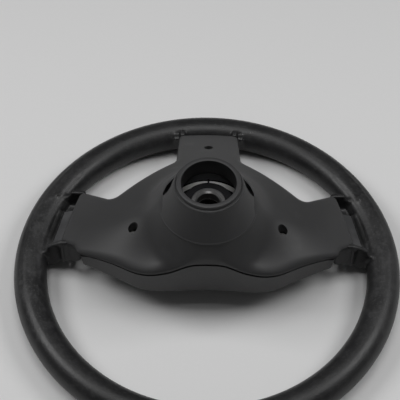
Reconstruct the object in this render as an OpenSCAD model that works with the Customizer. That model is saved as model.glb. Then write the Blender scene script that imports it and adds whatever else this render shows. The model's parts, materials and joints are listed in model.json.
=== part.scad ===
// Three-spoke car steering wheel, lying on its face with the column side up.
// Z = 0 is the plane that the front of the rim rests on, and the Z axis is the steering axis.
// The third spoke points along +Y. Heights are given above the rim's middle plane.

/* [Rim] */
// Outside diameter of the wheel
wheel_d = 370; // [360:1:380]
// Thickness of the foam grip
grip_d = 31.4; // [30:0.2:34]
// Diameter of the steel ring inside the grip
core_d = 10; // [8:0.5:12]
// Depth of the finger flutes in the grip
flute_depth = 0.6; // [0.4:0.1:1.2]

/* [Spoke roots] */
// Thickness of the foam walls beside each spoke end
root_wall = 4.5; // [3.5:0.5:6]
// Thickness of the foam floor under each spoke end
root_floor = 3.5; // [2.5:0.5:5]
// Height of the ribbed near wall
near_wall_top = 29; // [26:0.5:32]
// Height of the far wall
far_wall_top = 21; // [18:0.5:24]

/* [Hub] */
// Height of the top of the hub boss
boss_top = 97.4; // [96:0.2:99]
// Height of the foot of the hub boss
boss_foot = 50; // [49:0.5:52]
// Outside radius of the hub boss
boss_r = 16; // [15:0.5:18]
// Radius of the plain pilot bore
bore_r = 10.5; // [9:0.25:11.5]
// Length of the plain pilot bore
bore_len = 8; // [6:0.5:10]
// Number of serrations in the bore
serrations = 40; // [24:4:48]
// Depth of the serrations
serration_depth = 0.8; // [0.6:0.1:1]
// Radius of the pocket for the column nut
nut_pocket_r = 13.5; // [12:0.5:14]
// Depth of the pocket for the column nut
nut_pocket_depth = 16; // [12:1:18]
// Radius of the hub plate
plate_r = 39.5; // [39.3:0.1:40]
// Height of the top of the hub plate
plate_top = 73.5; // [73:0.1:74]

/* [Spoke frame] */
// Thickness of the pressed steel
steel_t = 3; // [2:0.25:3.5]
// Depth of the flanges along the arms
flange_depth = 8; // [6:0.5:9]
// Angle of the side arms above the X axis
arm_angle = 12; // [10:0.5:14]
// Depth of an arm's top below the hub plate's top, where the arm leaves the plate
arm_drop = 2.1; // [1.5:0.1:2.5]
// Height of an arm's top where it leaves the housing
arm_z = 18.5; // [17.5:0.25:19.5]
// Distance from there out to the ring's middle line
arm_room = 35.3; // [34:0.5:37]
// Distance from an arm's bend out to the ring's middle line
bend_room = 18.8; // [17:0.2:20]
// Half width of an arm at the hub plate
arm_root_half = 33; // [31:0.5:34]
// Half width of a side arm's near half beside the cover screw
arm_waist = 12.5; // [11:0.5:13]
// Half width of a side arm at its end
arm_tip_half = 22; // [20:0.5:23]
// Half width of the far arm at its end
far_tip_half = 19; // [16:0.5:20]

/* [Housing] */
// Distance from the third spoke's end out to the ring's middle line
spoke_room = 22.6; // [21:0.2:26]
// Distance from a wing's near tip out to the ring's middle line, sideways
tip_room = 29.3; // [28:0.2:31]
// Distance from a wing's far tip out to the ring's middle line, sideways
far_tip_room = 44.2; // [43:0.2:46]
// Distance from the notch for the near foam wall out to the ring's middle line
notch_room = 48.3; // [47:0.2:50]
// Distance from the near corner of the housing to the same line
near_room = 49; // [48:0.2:51]
// Distance from the valley between wing and third spoke to the same line
valley_room = 79; // [77:0.5:81]
// Wall of the back cover
cover_wall = 2.5; // [2:0.1:3]
// Wall of the horn pad
pad_wall = 2.6; // [2.2:0.1:3]
// Depth of the cover's edge below its top surface
skirt = 5; // [4:0.25:6]
// Greatest height of the parting line, reached below the collar
parting_top = 66; // [64:0.5:68]
// Gap between the cover and the horn pad
parting_gap = 2.2; // [2:0.1:2.6]
// Height of the pad's front face
pad_front = 11; // [9:0.5:13]
// Draft angle of the pad's side wall
draft = 6; // [4:0.5:7]

/* [Collar] */
// Radius of the collar's mouth
collar_r = 24.2; // [23:0.2:25]
// Height of the top of the collar
collar_top = 125.2; // [123:0.2:127]
// Height of the shoulder around the collar's ring
shoulder_top = 119.5; // [118:0.5:121]
// Radius of the shoulder
shoulder_r = 30.3; // [30:0.1:32]
// Width of the groove between the collar's ring and the shoulder
groove_w = 1.2; // [0.8:0.1:1.6]
// Radius of the cone's base
cone_r = 44.3; // [43.5:0.2:45]
// Height of the cone's base edge
cone_base = 92.2; // [91:0.2:93]
// Distance of the two slots at the foot of the cone from the steering axis
slot_r = 39.2; // [37:0.2:41]
// Angle of the slots beyond the X axis
slot_angle = 20; // [15:1:25]
// Length of the slots
slot_len = 15.5; // [12:0.5:17]
// Width of the slots
slot_w = 6.4; // [4:0.2:7]

/* [Cover screws] */
// Distance of the side screws from the steering axis
side_screw_r = 68.7; // [67:0.1:71]
// Angle of the side screws below the X axis
side_screw_angle = 6.2; // [5:0.1:8]
// Height of the seats of the side screws
side_seat_z = 52; // [51:0.5:53]
// Distance of the far screw from the steering axis
far_screw_r = 109; // [107:0.5:111]
// Radius of a screw's seat
seat_r = 8; // [7.5:0.1:9]
// Radius of the recess above a screw
recess_r = 4.5; // [4.2:0.1:5]
// Radius of a screw's shank
screw_r = 2; // [1.6:0.1:2.2]
// Height of a screw's head
screw_head_h = 2.4; // [2:0.1:3]

/* [Horn] */
// Travel of the horn pad
travel = 1.5; // [1:0.1:1.6]
// Height of the top of the pad bracket
bracket_top = 57; // [56.5:0.1:57.2]
// Thickness of the pad bracket
bracket_t = 2; // [1.5:0.1:2.5]
// Distance of the guide bolts from the middle, sideways
guide_x = 38; // [37:0.5:39]
// Distance of the guide bolts from the middle, fore and aft
guide_y = 20; // [19:0.5:21]
// Radius of a guide bolt's shoulder
guide_r = 2.5; // [2:0.1:3]
// Height of the top of the pad frame
pad_frame_top = 43.6; // [42:0.2:44]
// Thickness of the pad frame
pad_frame_t = 1.6; // [1.2:0.1:2]
// Wire radius of the horn springs
spring_wire_r = 0.55; // [0.4:0.05:0.7]
// Turns of a horn spring
spring_turns = 5; // [4:1:6]
// Inner radius of the slip ring
slip_in_r = 34.8; // [34:0.1:35.5]
// Outer radius of the slip ring
slip_out_r = 39.5; // [39:0.1:40]
// Thickness of the slip ring
slip_t = 1.8; // [1.5:0.1:2.2]
// Thickness of the slip ring's carrier
carrier_t = 4; // [3.5:0.1:5]
// Radius of the carrier's tall hub
carrier_hub_r = 22.6; // [21:0.2:23]
// Height of the top of the carrier's hub
carrier_hub_top = 96; // [94:0.5:96.5]

/* [Hidden] */

rim_r = (wheel_d - grip_d) / 2;
core_r = core_d / 2;
fit = 0.1;
run = 0.05;
soft_gap = 0.7;
far = 400;
sides = [1, -1];
smooth = 96;

// Places of the cover screws, as angle and distance
screw_places = [[-side_screw_angle, side_screw_r], [180 + side_screw_angle, side_screw_r],
    [90, far_screw_r]];
guide_places = [for (s = sides) for (t = sides) [s * guide_x, t * guide_y]];

// Plan outline of the housing's right half, from the near edge round to the end of the third
// spoke. Each corner has its place, its rounding and the width of its rolled edge.
notch_x = rim_r - notch_room;
notch_y = 6.2;
near_y = -46.5;
spoke_end = rim_r - spoke_room;
spoke_half = 29.8;
outline_start = [0, near_y, 0, 4.5];
corners = [
    [60, near_y, 60, 7],
    [rim_r - near_room, -13.3, 7, 3.5],
    [notch_x, notch_y, 3, 3.5, "wing"],
    [rim_r - tip_room, notch_y, 7, 3.5],
    [rim_r - far_tip_room, 67.3, 8, 4],
    [rim_r - valley_room, 37.2, 10, 5, "wing"],
    [spoke_half + 1.5, 79.6, 12, 5],
    [spoke_half, spoke_end, 6, 4]
];
outline_end = [0, spoke_end, 0, 4];
wing_corners = [for (i = [0 : len(corners) - 1]) if (corners[i][4] == "wing") i + 1];

function unit(v) = v / norm(v);
function plan(p) = [p[0], p[1]];
function outward(d) = [d[1], -d[0]];
function turn(d, a) = [d[0] * cos(a) - d[1] * sin(a), d[0] * sin(a) + d[1] * cos(a)];
function bend(d1, d2) = atan2(d1[0] * d2[1] - d1[1] * d2[0], d1[0] * d2[0] + d1[1] * d2[1]);
function mix(a, b, t) = a + (b - a) * t;
function ease(t) = t <= 0 ? 0 : t >= 1 ? 1 : t * t * (3 - 2 * t);

// One outline point holds [plan place, outward direction, roll width]
function arc_points(p, c, n) =
    let (d1 = unit(plan(c) - plan(p)), d2 = unit(plan(n) - plan(c)), a = bend(d1, d2),
        s = sign(a), back = c[2] * tan(abs(a) / 2), start = plan(c) - d1 * back,
        centre = start - outward(d1) * s * c[2],
        steps = 2 * ceil(abs(a) / 56))
    [for (j = [0 : steps])
        let (d = turn(d1, a * j / steps))
        [centre + outward(d) * s * c[2], outward(d), c[3]]];
function straight_points(p, q) =
    let (v = q[0] - p[0], steps = max(1, round(norm(v) / 13)))
    [for (j = [1 : 1 : steps - 1])
        let (t = j / steps)
        [p[0] + v * t, unit(mix(p[1], q[1], t)), mix(p[2], q[2], t)]];
function first(list) = list[0];
function last(list) = list[len(list) - 1];
half_arcs = concat(
    [[[plan(outline_start), [0, -1], outline_start[3]]]],
    [for (i = [0 : len(corners) - 1])
        arc_points(i == 0 ? outline_start : corners[i - 1], corners[i],
            i == len(corners) - 1 ? outline_end : corners[i + 1])],
    [[[plan(outline_end), [0, 1], outline_end[3]]]]);
half_runs = [for (i = [0 : len(half_arcs) - 1])
    concat(half_arcs[i],
        i < len(half_arcs) - 1 ? straight_points(last(half_arcs[i]), first(half_arcs[i + 1])) : [])];
half_outline = [for (run = half_runs) each run];
half_n = len(half_outline) - 1;
function mirrored(o) = [[-o[0][0], o[0][1]], [-o[1][0], o[1][1]], o[2]];
outline = concat(half_outline,
    [for (i = [half_n - 1 : -1 : 1]) mirrored(half_outline[i])]);

// The wing over a side spoke is reached through its mouth, the line between the middles of the
// two corners it starts and ends at
function run_start(k) = k == 0 ? 0 : run_start(k - 1) + len(half_runs[k - 1]);
function arc_middle(k) = run_start(k) + (len(half_arcs[k]) - 1) / 2;
mouth = [for (k = wing_corners) arc_middle(k)];

// Height of the cover's top surface. The back of the hub flares up to the collar, and the near
// side dips to a flat brim around it. Both start from their height at the wings' ends.
hub_edge_r = 40;
wing_r = rim_r - 32.3;
wing_z = 28;
flare_rise = 58.2;
brim_z = 27.4;
brim_rise = 38.8;
function out_from_hub(r) = (wing_r - r) / (wing_r - hub_edge_r);
function bulge(r, at, width) = exp(-pow((r - at) / width, 2));
function flare(r) = wing_z + flare_rise * out_from_hub(r) + 14 * bulge(r, hub_edge_r, 12);
function brim(r) = brim_z + brim_rise * out_from_hub(r) + 30 * bulge(r, hub_edge_r, 9)
    - 6 * bulge(r, 64, 14);
function cover_z(p) =
    let (r = norm(p), t = ease((p[1] / r + 0.65) / 0.7))
    mix(brim(r), flare(r), t);
// The skin is deeper, measured upright, where it falls steeply off the collar
function steepness(p) = 1 + 1.4 * bulge(norm(p), 51, 13);
function parting_z(o) = min(cover_z(o[0]) - skirt, parting_top);
function front_z(p) = pad_front - 8 * ease((norm(p) - wing_r + 25) / 30);

// Place at t on the rib of outline point i, from radius r0 at the hub (t = 0) to places[i] (t = 1).
// The ribs run outward from the hub, and those of a wing bend at its mouth.
mouth_t = 0.95;
function rib_foot(places, i, r0) = mix(unit(places[i]) * r0, places[i], mouth_t);
function rib_bend(places, i, r0) =
    let (n = len(places), k = i <= half_n ? i : n - i,
        u = 2 * (k - mouth[0]) / (mouth[1] - mouth[0]) - 1,
        f = 0.5 + sign(u) * (0.3 * abs(u) + 0.7 * pow(abs(u), 2.5)) / 2)
    f <= 0 || f >= 1 ? rib_foot(places, i, r0)
        : mix(rib_foot(places, i <= half_n ? mouth[0] : n - mouth[0], r0),
            rib_foot(places, i <= half_n ? mouth[1] : n - mouth[1], r0), f);
function rib_point(places, i, r0, t) =
    let (b = rib_bend(places, i, r0))
    t > mouth_t ? mix(b, places[i], (t - mouth_t) / (1 - mouth_t))
        : mix(unit(b) * r0, b, t / mouth_t);

loft_r = 38.5;
top_steps = [0, 0.12, 0.32, 0.6, mouth_t, 0.975, 1];
roll_angles = [35, 90];
roll_share = 0.6;

// Rings of the cover from the hub out to the parting line, lowered and drawn in by a wall w
roll_starts = [for (o = outline) o[0] - o[1] * o[2]];
function top_ring(t, w) = [for (i = [0 : len(outline) - 1])
    let (p = rib_point(roll_starts, i, loft_r, t)) [p[0], p[1], cover_z(p) - w * steepness(p)]];
function roll_ring(a, w) = [for (o = outline)
    let (p = o[0] - o[1] * (o[2] * (1 - sin(a))), q = p - o[1] * w * sin(a),
        drop = (cover_z(o[0]) - parting_z(o)) * roll_share * (1 - cos(a)))
    [q[0], q[1], cover_z(p) - drop - w * cos(a)]];
function skirt_ring(w) = [for (o = outline)
    let (q = o[0] - o[1] * w) [q[0], q[1], parting_z(o)]];
function cover_rings(w) = concat([for (t = top_steps) top_ring(t, w)],
    [for (a = roll_angles) roll_ring(a, w)], [skirt_ring(w)]);

function reversed(list) = [for (i = [len(list) - 1 : -1 : 0]) list[i]];
function ring_faces(n, m, closed) = [for (k = [0 : closed ? n - 1 : n - 2]) for (i = [0 : m - 1])
    let (k2 = (k + 1) % n, i2 = (i + 1) % m, a = k * m + i, b = k * m + i2,
        c = k2 * m + i2, d = k2 * m + i)
    each [[a, b, c], [a, c, d]]];

// Closed skin through rings of equal count that meet again at the first ring
module ring_skin(rings) {
    polyhedron([for (ring = rings) each ring], ring_faces(len(rings), len(outline), true));
}

// Closed skin through rings of equal count with a flat cap at both ends
module capped_skin(rings) {
    n = len(rings);
    m = len(outline);
    polyhedron([for (ring = rings) each ring],
        concat(ring_faces(n, m, false), [[for (i = [m - 1 : -1 : 0]) i]],
            [[for (i = [0 : m - 1]) (n - 1) * m + i]]));
}

module on_rim_plane() {
    translate([0, 0, grip_d / 2]) children();
}

module rim_core() {
    color("dimgray") on_rim_plane()
        rotate_extrude($fn = smooth) translate([rim_r, 0]) circle(core_r, $fn = 32);
}

// Slab whose top is arm_drop below the arms' top plane, t thick, in an arm's own frame
module arm_slab(from, to, t, lower) {
    tilt = atan(arm_fall);
    z0 = arm_z + arm_fall * (arm_ref - from) - lower;
    translate([from, 0, z0]) rotate([0, tilt, 0])
        translate([-60, -far / 2, -t]) cube([(to - from) / cos(tilt) + 60, far, t]);
}

arm_ref = rim_r - arm_room;
arm_bend = rim_r - bend_room;
arm_fall = (plate_top - arm_drop - arm_z) / (arm_ref - plate_r);
bend_tip_z = -4;
bend_tip_r = rim_r - core_r;
bend_end_z = arm_z - arm_fall * (arm_bend - arm_ref);

// Edges of an arm in plan, from the hub plate out to its bend, as [distance, across]. The near
// edge of a side arm passes the cover screw and the housing's near wall, its far edge the valley.
arm_from = 28;
valley_half = 14;
function along(share) = arm_bend * share;
side_near_edge = [[arm_from, -20], [along(0.31), -20], [along(0.35), -arm_waist],
    [along(0.69), -arm_waist], [along(0.94), -arm_waist - 2.5], [arm_bend, -arm_tip_half]];
side_far_edge = [[arm_bend, arm_tip_half], [along(0.81), arm_tip_half - 1],
    [along(0.745), valley_half], [along(0.585), valley_half], [along(0.4), 27],
    [arm_from, arm_root_half]];
far_near_edge = [[arm_from, -arm_root_half], [along(0.73), -far_tip_half],
    [arm_bend, -far_tip_half]];
far_far_edge = [[arm_bend, far_tip_half], [along(0.73), far_tip_half],
    [arm_from, arm_root_half]];

// Plan of an arm, drawn in by w on each side
module arm_plan(edges, w) {
    polygon(concat([for (p = edges[0]) [p[0], p[1] + w]], [for (p = edges[1]) [p[0], p[1] - w]]));
}

// The last stretch of an arm, from its bend down to the ring, with room g around it
module arm_tip(tip_half, g) {
    rotate([90, 0, 0]) translate([0, 0, -tip_half - g]) linear_extrude(2 * (tip_half + g))
        polygon([[arm_bend - 0.01, bend_end_z + g], [arm_bend + g / 2, bend_end_z + g],
            [rim_r + g, bend_tip_z + g], [rim_r + g, bend_tip_z - steel_t - g],
            [arm_bend - steel_t / 2 - 0.01, bend_end_z - steel_t - g]]);
}

// One arm with room g around it, as it passes through the foam
module arm(edges, tip_half, g = 0) {
    flange_end = arm_bend - 18;
    intersection() {
        translate([0, 0, -20]) linear_extrude(140) arm_plan(edges, -g);
        arm_slab(20, arm_bend, steel_t + 2 * g, -g);
    }
    difference() {
        intersection() {
            translate([0, 0, -20]) linear_extrude(140) arm_plan(edges, -g);
            arm_slab(20, arm_bend, flange_depth + 2 * g, -g);
        }
        translate([0, 0, -40]) linear_extrude(180) arm_plan(edges, steel_t + g);
        translate([flange_end + g, -far / 2, -40]) cube([40, far, 160]);
    }
    arm_tip(tip_half, g);
}

side_edges = [side_near_edge, side_far_edge];
far_edges = [far_near_edge, far_far_edge];
module all_arms(g = 0) {
    for (s = [0, 1]) mirror([s, 0, 0]) rotate([0, 0, arm_angle]) arm(side_edges, arm_tip_half, g);
    rotate([0, 0, 90]) arm(far_edges, far_tip_half, g);
}

module at_screws() {
    for (s = screw_places) rotate([0, 0, s[0]]) translate([s[1], 0, 0]) children();
}
far_seat_z = arm_z + arm_fall * (arm_ref - far_screw_r);
function seat_z(s) = s[0] == 90 ? far_seat_z : side_seat_z;
dimple_r = recess_r + 2.8;

// Flat seats that the cover is screwed down on: a tab beside each side arm and a dimple in the
// far arm
module screw_seats() {
    seat = side_screw_r * turn([1, 0], -side_screw_angle - arm_angle);
    for (s = [0, 1]) mirror([s, 0, 0]) rotate([0, 0, arm_angle])
        translate([seat[0], seat[1], side_seat_z - steel_t]) {
            cylinder(h = steel_t, r = seat_r, $fn = 48);
            translate([-seat_r, 0, 0])
                cube([2 * seat_r, -arm_waist + steel_t / 2 - seat[1], steel_t]);
        }
    rotate([0, 0, 90]) {
        translate([far_screw_r, 0, far_seat_z - steel_t])
            cylinder(h = steel_t, r = seat_r + 1, $fn = 48);
        intersection() {
            translate([far_screw_r, 0, far_seat_z - steel_t])
                cylinder(h = 20, r = seat_r + 1, $fn = 48);
            arm_slab(20, arm_bend, 30, 0);
        }
        difference() {
            translate([far_screw_r, 0, far_seat_z - steel_t - 10])
                cylinder(h = 10 + steel_t / 2, r = seat_r + 1, $fn = 48);
            arm_slab(20, arm_bend, 40, steel_t);
        }
    }
}

module spoke_frame() {
    color("#2b2d30") on_rim_plane() difference() {
        union() {
            translate([0, 0, plate_top - steel_t]) cylinder(h = steel_t, r = plate_r, $fn = smooth);
            difference() {
                all_arms();
                translate([0, 0, plate_top]) cylinder(h = far, r = carrier_r + soft_gap,
                    $fn = smooth);
                cylinder(h = plate_top - steel_t - 0.5, r = plate_r - steel_t, $fn = smooth);
            }
            screw_seats();
        }
        translate([0, far_screw_r, far_seat_z - steel_t - 20]) cylinder(h = 20, r = dimple_r,
            $fn = 48);
        cylinder(h = far, r = boss_r + fit, $fn = smooth);
        at_screws() cylinder(h = far, r = screw_r + fit * 2, $fn = 32);
        for (s = screw_places) rotate([0, 0, s[0]]) translate([s[1], 0, seat_z(s)])
            cylinder(h = far, r = post_r + soft_gap, $fn = 48);
        at_rivets() cylinder(h = far, r = rivet_r + run, $fn = 24);
        at_lead() cylinder(h = far, r = lead_r + fit * 5, $fn = 24);
        rotate_extrude($fn = smooth) translate([rim_r, 0]) circle(core_r + run, $fn = 32);
        for (s = sides) for (t = sides) translate([s * guide_x, t * guide_y, bracket_top - 20])
            cylinder(h = 20 + travel + 6.5, r = 7.5, $fn = 32);
    }
}

module hub_boss() {
    neck = boss_top - 1.4;
    pocket_top = boss_foot + nut_pocket_depth;
    flange_t = 3;
    root_step = 0.3;
    color("#7d8084") on_rim_plane() difference() {
        rotate_extrude($fn = smooth) polygon([
            [0, boss_foot], [boss_r, boss_foot], [boss_r, bracket_top],
            [boss_r + 4, bracket_top], [boss_r + 4, bracket_top + flange_t],
            [boss_r, bracket_top + flange_t], [boss_r, boss_top - 1], [boss_r - 1, boss_top],
            [0, boss_top]]);
        translate([0, 0, boss_foot - 1]) cylinder(h = nut_pocket_depth + 1, r = nut_pocket_r,
            $fn = smooth);
        translate([0, 0, neck - bore_len]) cylinder(h = bore_len + 2, r = bore_r, $fn = smooth);
        rotate_extrude($fn = smooth)
            polygon([[0, neck], [bore_r, neck], [bore_r + 1.6, boss_top + 0.2], [0, boss_top + 0.2]]);
        translate([0, 0, pocket_top - 1]) linear_extrude(neck - bore_len - pocket_top + 2)
            polygon([for (i = [0 : 2 * serrations - 1])
                let (r = bore_r - root_step - (i % 2) * serration_depth, a = i * 180 / serrations)
                [r * cos(a), r * sin(a)]]);
    }
}

carrier_top = plate_top + carrier_t;
rivet_r = 1.6;
rivet_place = carrier_hub_r + 4;
lug_half = 0.8;
lug_rise = 1;
carrier_r = slip_out_r + 1.7;
module at_rivets() {
    for (a = [30, 150, 270]) rotate([0, 0, a]) translate([rivet_place, 0, 0]) children();
}
lead_r = 0.9;
lead_y = -(slip_in_r + slip_out_r) / 2;
module at_lead() {
    translate([0, lead_y, 0]) children();
}

// Ring seat in the carrier and the lug that parts it, with room g
module slip_ring_shape(g) {
    difference() {
        translate([0, 0, carrier_top - slip_t - g]) cylinder(h = slip_t + g, r = slip_out_r + g,
            $fn = smooth);
        translate([0, 0, carrier_top - slip_t - 1]) cylinder(h = slip_t + 2, r = slip_in_r - g,
            $fn = smooth);
        translate([-lug_half + g, 0, carrier_top - slip_t - 1])
            cube([2 * (lug_half - g), far, slip_t + 2]);
    }
}

module slip_ring_carrier() {
    color("#1d1d1e") on_rim_plane() difference() {
        union() {
            translate([0, 0, plate_top]) cylinder(h = carrier_t, r = carrier_r, $fn = smooth);
            translate([0, 0, plate_top]) cylinder(h = carrier_hub_top - plate_top,
                r = carrier_hub_r, $fn = smooth);
            intersection() {
                translate([0, 0, plate_top]) difference() {
                    cylinder(h = carrier_t + lug_rise, r = carrier_r, $fn = smooth);
                    cylinder(h = carrier_t + lug_rise + 1, r = slip_in_r - 1.5, $fn = smooth);
                }
                translate([-lug_half, 0, plate_top]) cube([2 * lug_half, far, far]);
            }
        }
        translate([0, 0, plate_top - 1]) cylinder(h = far, r = boss_r + fit, $fn = smooth);
        translate([0, 0, fit]) slip_ring_shape(run);
        at_rivets() cylinder(h = far, r = rivet_r + run, $fn = 24);
        at_lead() cylinder(h = far, r = lead_r + fit, $fn = 24);
    }
}

module slip_ring() {
    color("#c4c6c8") on_rim_plane() translate([0, 0, fit]) slip_ring_shape(0);
}

module carrier_rivets() {
    color("#8d8f92") on_rim_plane() at_rivets() {
        translate([0, 0, plate_top - steel_t - 1]) cylinder(h = carrier_t + steel_t + 1.2,
            r = rivet_r, $fn = 24);
        translate([0, 0, carrier_top]) cylinder(h = 0.9, r = rivet_r + 1.1, $fn = 24);
        translate([0, 0, plate_top - steel_t - 1]) cylinder(h = 1, r = rivet_r + 1, $fn = 24);
    }
}

// Flutes that the fingers rest in, cut along the top of the grip beside the side spokes
module flutes() {
    reach = grip_d / 2;
    cutter = 6;
    for (s = [0, 1]) mirror([s, 0, 0]) rotate([0, 0, -12])
        rotate_extrude(angle = 50, $fn = smooth)
            for (a = [60, 90, 120]) translate([rim_r + (reach - flute_depth + cutter) * cos(a),
                (reach - flute_depth + cutter) * sin(a)]) circle(cutter, $fn = 24);
}

// Foam walls and floor around the end of a side arm
module side_root() {
    wall_in = notch_x;
    wall_out = rim_r - grip_d / 2 + 7;
    near_back = notch_y - soft_gap;
    far_y = 68.5;
    floor_top = front_z([140, 0]) - 1.5;
    rib_x = notch_x + 16;
    // near wall with its outer rib
    translate([0, near_back, 0]) rotate([90, 0, 0]) linear_extrude(root_wall)
        polygon([[wall_in, 2], [wall_in, near_wall_top - 12], [wall_in + 3, near_wall_top - 6],
            [wall_in + 11, near_wall_top], [wall_in + 18, near_wall_top],
            [wall_in + 27, near_wall_top - 4.5], [wall_out, near_wall_top - 15],
            [wall_out, -10], [wall_in + 29, -8], [wall_in + 22, -2], [wall_in + 3, -1]]);
    translate([rib_x, near_back - root_wall - 3, 0]) cube([3, 4, near_wall_top - 3]);
    // far wall
    translate([0, far_y + root_wall, 0]) rotate([90, 0, 0]) linear_extrude(root_wall)
        polygon([[wall_in, far_wall_top - 2], [wall_in + 22, far_wall_top],
            [wall_out - 2, far_wall_top - 8], [wall_out - 2, -8], [wall_in, -4]]);
    // floor between them
    intersection() {
        translate([0, 0, floor_top - root_floor]) difference() {
            cylinder(h = root_floor, r = wall_out + 1, $fn = smooth);
            translate([0, 0, -1]) cylinder(h = root_floor + 2, r = rim_r - 31.3, $fn = smooth);
        }
        translate([0, near_back - root_wall, -20]) cube([far, far_y + 2 * root_wall - near_back, 40]);
    }
}

// Foam ears and floor around the end of the far arm
module far_root() {
    in_y = spoke_end - 4;
    out_y = rim_r - grip_d / 2 + 3;
    half = spoke_half + 0.4;
    ear_top = 24;
    floor_top = front_z([0, spoke_end]) - 1.5;
    for (s = sides) translate([s * (half + soft_gap + root_wall / 2) - root_wall / 2, 0, 0])
        rotate([90, 0, 90]) linear_extrude(root_wall)
            polygon([[in_y, ear_top - 7], [in_y + 4, ear_top], [out_y - 6, ear_top - 3],
                [out_y, ear_top - 10], [out_y, -8], [in_y, -4]]);
    translate([-half, in_y, floor_top - root_floor]) cube([2 * half, out_y - in_y, root_floor]);
}

module rim_grip() {
    color("#303031") on_rim_plane() difference() {
        union() {
            rotate_extrude($fn = smooth) translate([rim_r, 0]) circle(grip_d / 2, $fn = 48);
            for (s = [0, 1]) mirror([s, 0, 0]) side_root();
            far_root();
        }
        rotate_extrude($fn = smooth) translate([rim_r, 0]) circle(core_r + run, $fn = 32);
        all_arms(fit);
        flutes();
    }
}

module cone_profile(inset) {
    inner_foot = shoulder_top - 12;
    ring_out = collar_r + 3;
    groove_foot = shoulder_top - 1.4;
    // inner side of the mouth, raised ring, groove, shoulder, cone and the ledge at its foot
    polygon([
        [collar_r, inner_foot], [collar_r, collar_top - 0.8], [collar_r + 0.8, collar_top],
        [ring_out - 0.6, collar_top], [ring_out, collar_top - 0.6], [ring_out + 0.1, groove_foot],
        [ring_out + groove_w, groove_foot], [ring_out + groove_w, shoulder_top],
        [ring_out + groove_w + 0.4, shoulder_top + 0.5], [shoulder_r - 0.8, shoulder_top + 0.5],
        [shoulder_r - 0.1, shoulder_top], [shoulder_r + 0.4, shoulder_top - 1.4],
        [cone_r - 0.9, cone_base + 1.8], [cone_r, cone_base + 1.2], [cone_r, cone_base],
        [cone_r - inset * 1.2, cone_base], [shoulder_r - inset * 1.1, shoulder_top - 8],
        [collar_r + inset * 0.9, inner_foot]]);
}

// Upright slots through the cover on both flanks of the cone's foot
module cone_slots() {
    slot_foot = cone_base - 20;
    straight = slot_len - slot_w;
    for (s = [0, 1]) mirror([s, 0, 0]) rotate([0, 0, slot_angle])
        translate([slot_r, 0, slot_foot]) rotate([0, 0, 4]) {
            for (e = sides) translate([0, e * straight / 2, 0])
                cylinder(h = far, r = slot_w / 2, $fn = 32);
            translate([-slot_w / 2, -straight / 2, 0]) cube([slot_w, straight, far]);
        }
}

post_r = recess_r + 2;
function screw_xy(s) = [s[1] * cos(s[0]), s[1] * sin(s[0])];

module screw_posts() {
    for (s = screw_places) rotate([0, 0, s[0]]) translate([s[1], 0, seat_z(s) + run])
        cylinder(h = cover_z(screw_xy(s)) - seat_z(s) - 1, r = post_r, $fn = 32);
}

module back_cover() {
    color("#363638") on_rim_plane() difference() {
        union() {
            ring_skin(concat(cover_rings(0), reversed(cover_rings(cover_wall))));
            rotate_extrude($fn = smooth) cone_profile(cover_wall);
            screw_posts();
        }
        for (s = screw_places) rotate([0, 0, s[0]]) translate([s[1], 0, 0]) {
            cylinder(h = far, r = screw_r + 0.3, $fn = 32);
            translate([0, 0, head_z(s) - run]) cylinder(h = far, r = recess_r, $fn = 32);
        }
        cone_slots();
    }
}

function head_z(s) = seat_z(s) + 2;

module cover_screws() {
    tail = 7;
    color("#8b8d90") on_rim_plane() for (s = screw_places)
        rotate([0, 0, s[0]]) translate([s[1], 0, head_z(s)]) difference() {
            union() {
                cylinder(h = screw_head_h, r = recess_r - 0.6, $fn = 32);
                translate([0, 0, -tail - 7]) cylinder(h = tail + 7.5, r = screw_r, $fn = 32);
            }
            for (a = [0, 90]) rotate([0, 0, a])
                translate([-2, -0.4, screw_head_h - 1.2]) cube([4, 0.8, 3]);
        }
}

module cover_nuts() {
    nut_h = 4;
    color("#8b8d90") on_rim_plane() for (s = screw_places)
        rotate([0, 0, s[0]]) translate([s[1], 0, seat_z(s) - steel_t - nut_h - run]) difference() {
            cylinder(h = nut_h, r = 4.4, $fn = 6);
            translate([0, 0, -1]) cylinder(h = nut_h + 2, r = screw_r + run, $fn = 32);
        }
}

bracket_x = 46;
bracket_y = 27;
bracket_foot = bracket_top - bracket_t;
bush_out_r = guide_r + 1.6;
bush_flange = 1.5;
bush_top = bracket_top + bush_flange;

module pad_bracket() {
    corner = 6;
    color("#2b2d30") on_rim_plane() difference() {
        translate([0, 0, bracket_foot]) linear_extrude(bracket_t) union() {
            square([2 * bracket_x, 2 * (bracket_y - corner)], center = true);
            square([2 * (bracket_x - corner), 2 * bracket_y], center = true);
            for (s = sides) for (t = sides)
                translate([s * (bracket_x - corner), t * (bracket_y - corner)])
                    circle(corner, $fn = 32);
        }
        cylinder(h = far, r = boss_r + fit, $fn = smooth);
        for (g = guide_places) translate([g[0], g[1], 0])
            cylinder(h = far, r = bush_out_r + run, $fn = 32);
        for (s = sides) translate([s * contact_pitch, contact_y, 0])
            cylinder(h = far, r = 1.1 + run, $fn = 24);
        for (s = sides) translate([s * 31, 0, 0]) cylinder(h = far, r = 7, $fn = 32);
    }
}

module guide_bushes() {
    color("#e2e0d8") on_rim_plane() for (g = guide_places) translate([g[0], g[1], 0])
        difference() {
            union() {
                translate([0, 0, bracket_top]) cylinder(h = bush_flange, r = bush_out_r + 2,
                    $fn = 32);
                translate([0, 0, bracket_foot - 1]) cylinder(h = bracket_t + 1.5, r = bush_out_r,
                    $fn = 32);
            }
            cylinder(h = far, r = guide_r + run, $fn = 32);
        }
}

pad_frame_foot = pad_frame_top - pad_frame_t;

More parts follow.
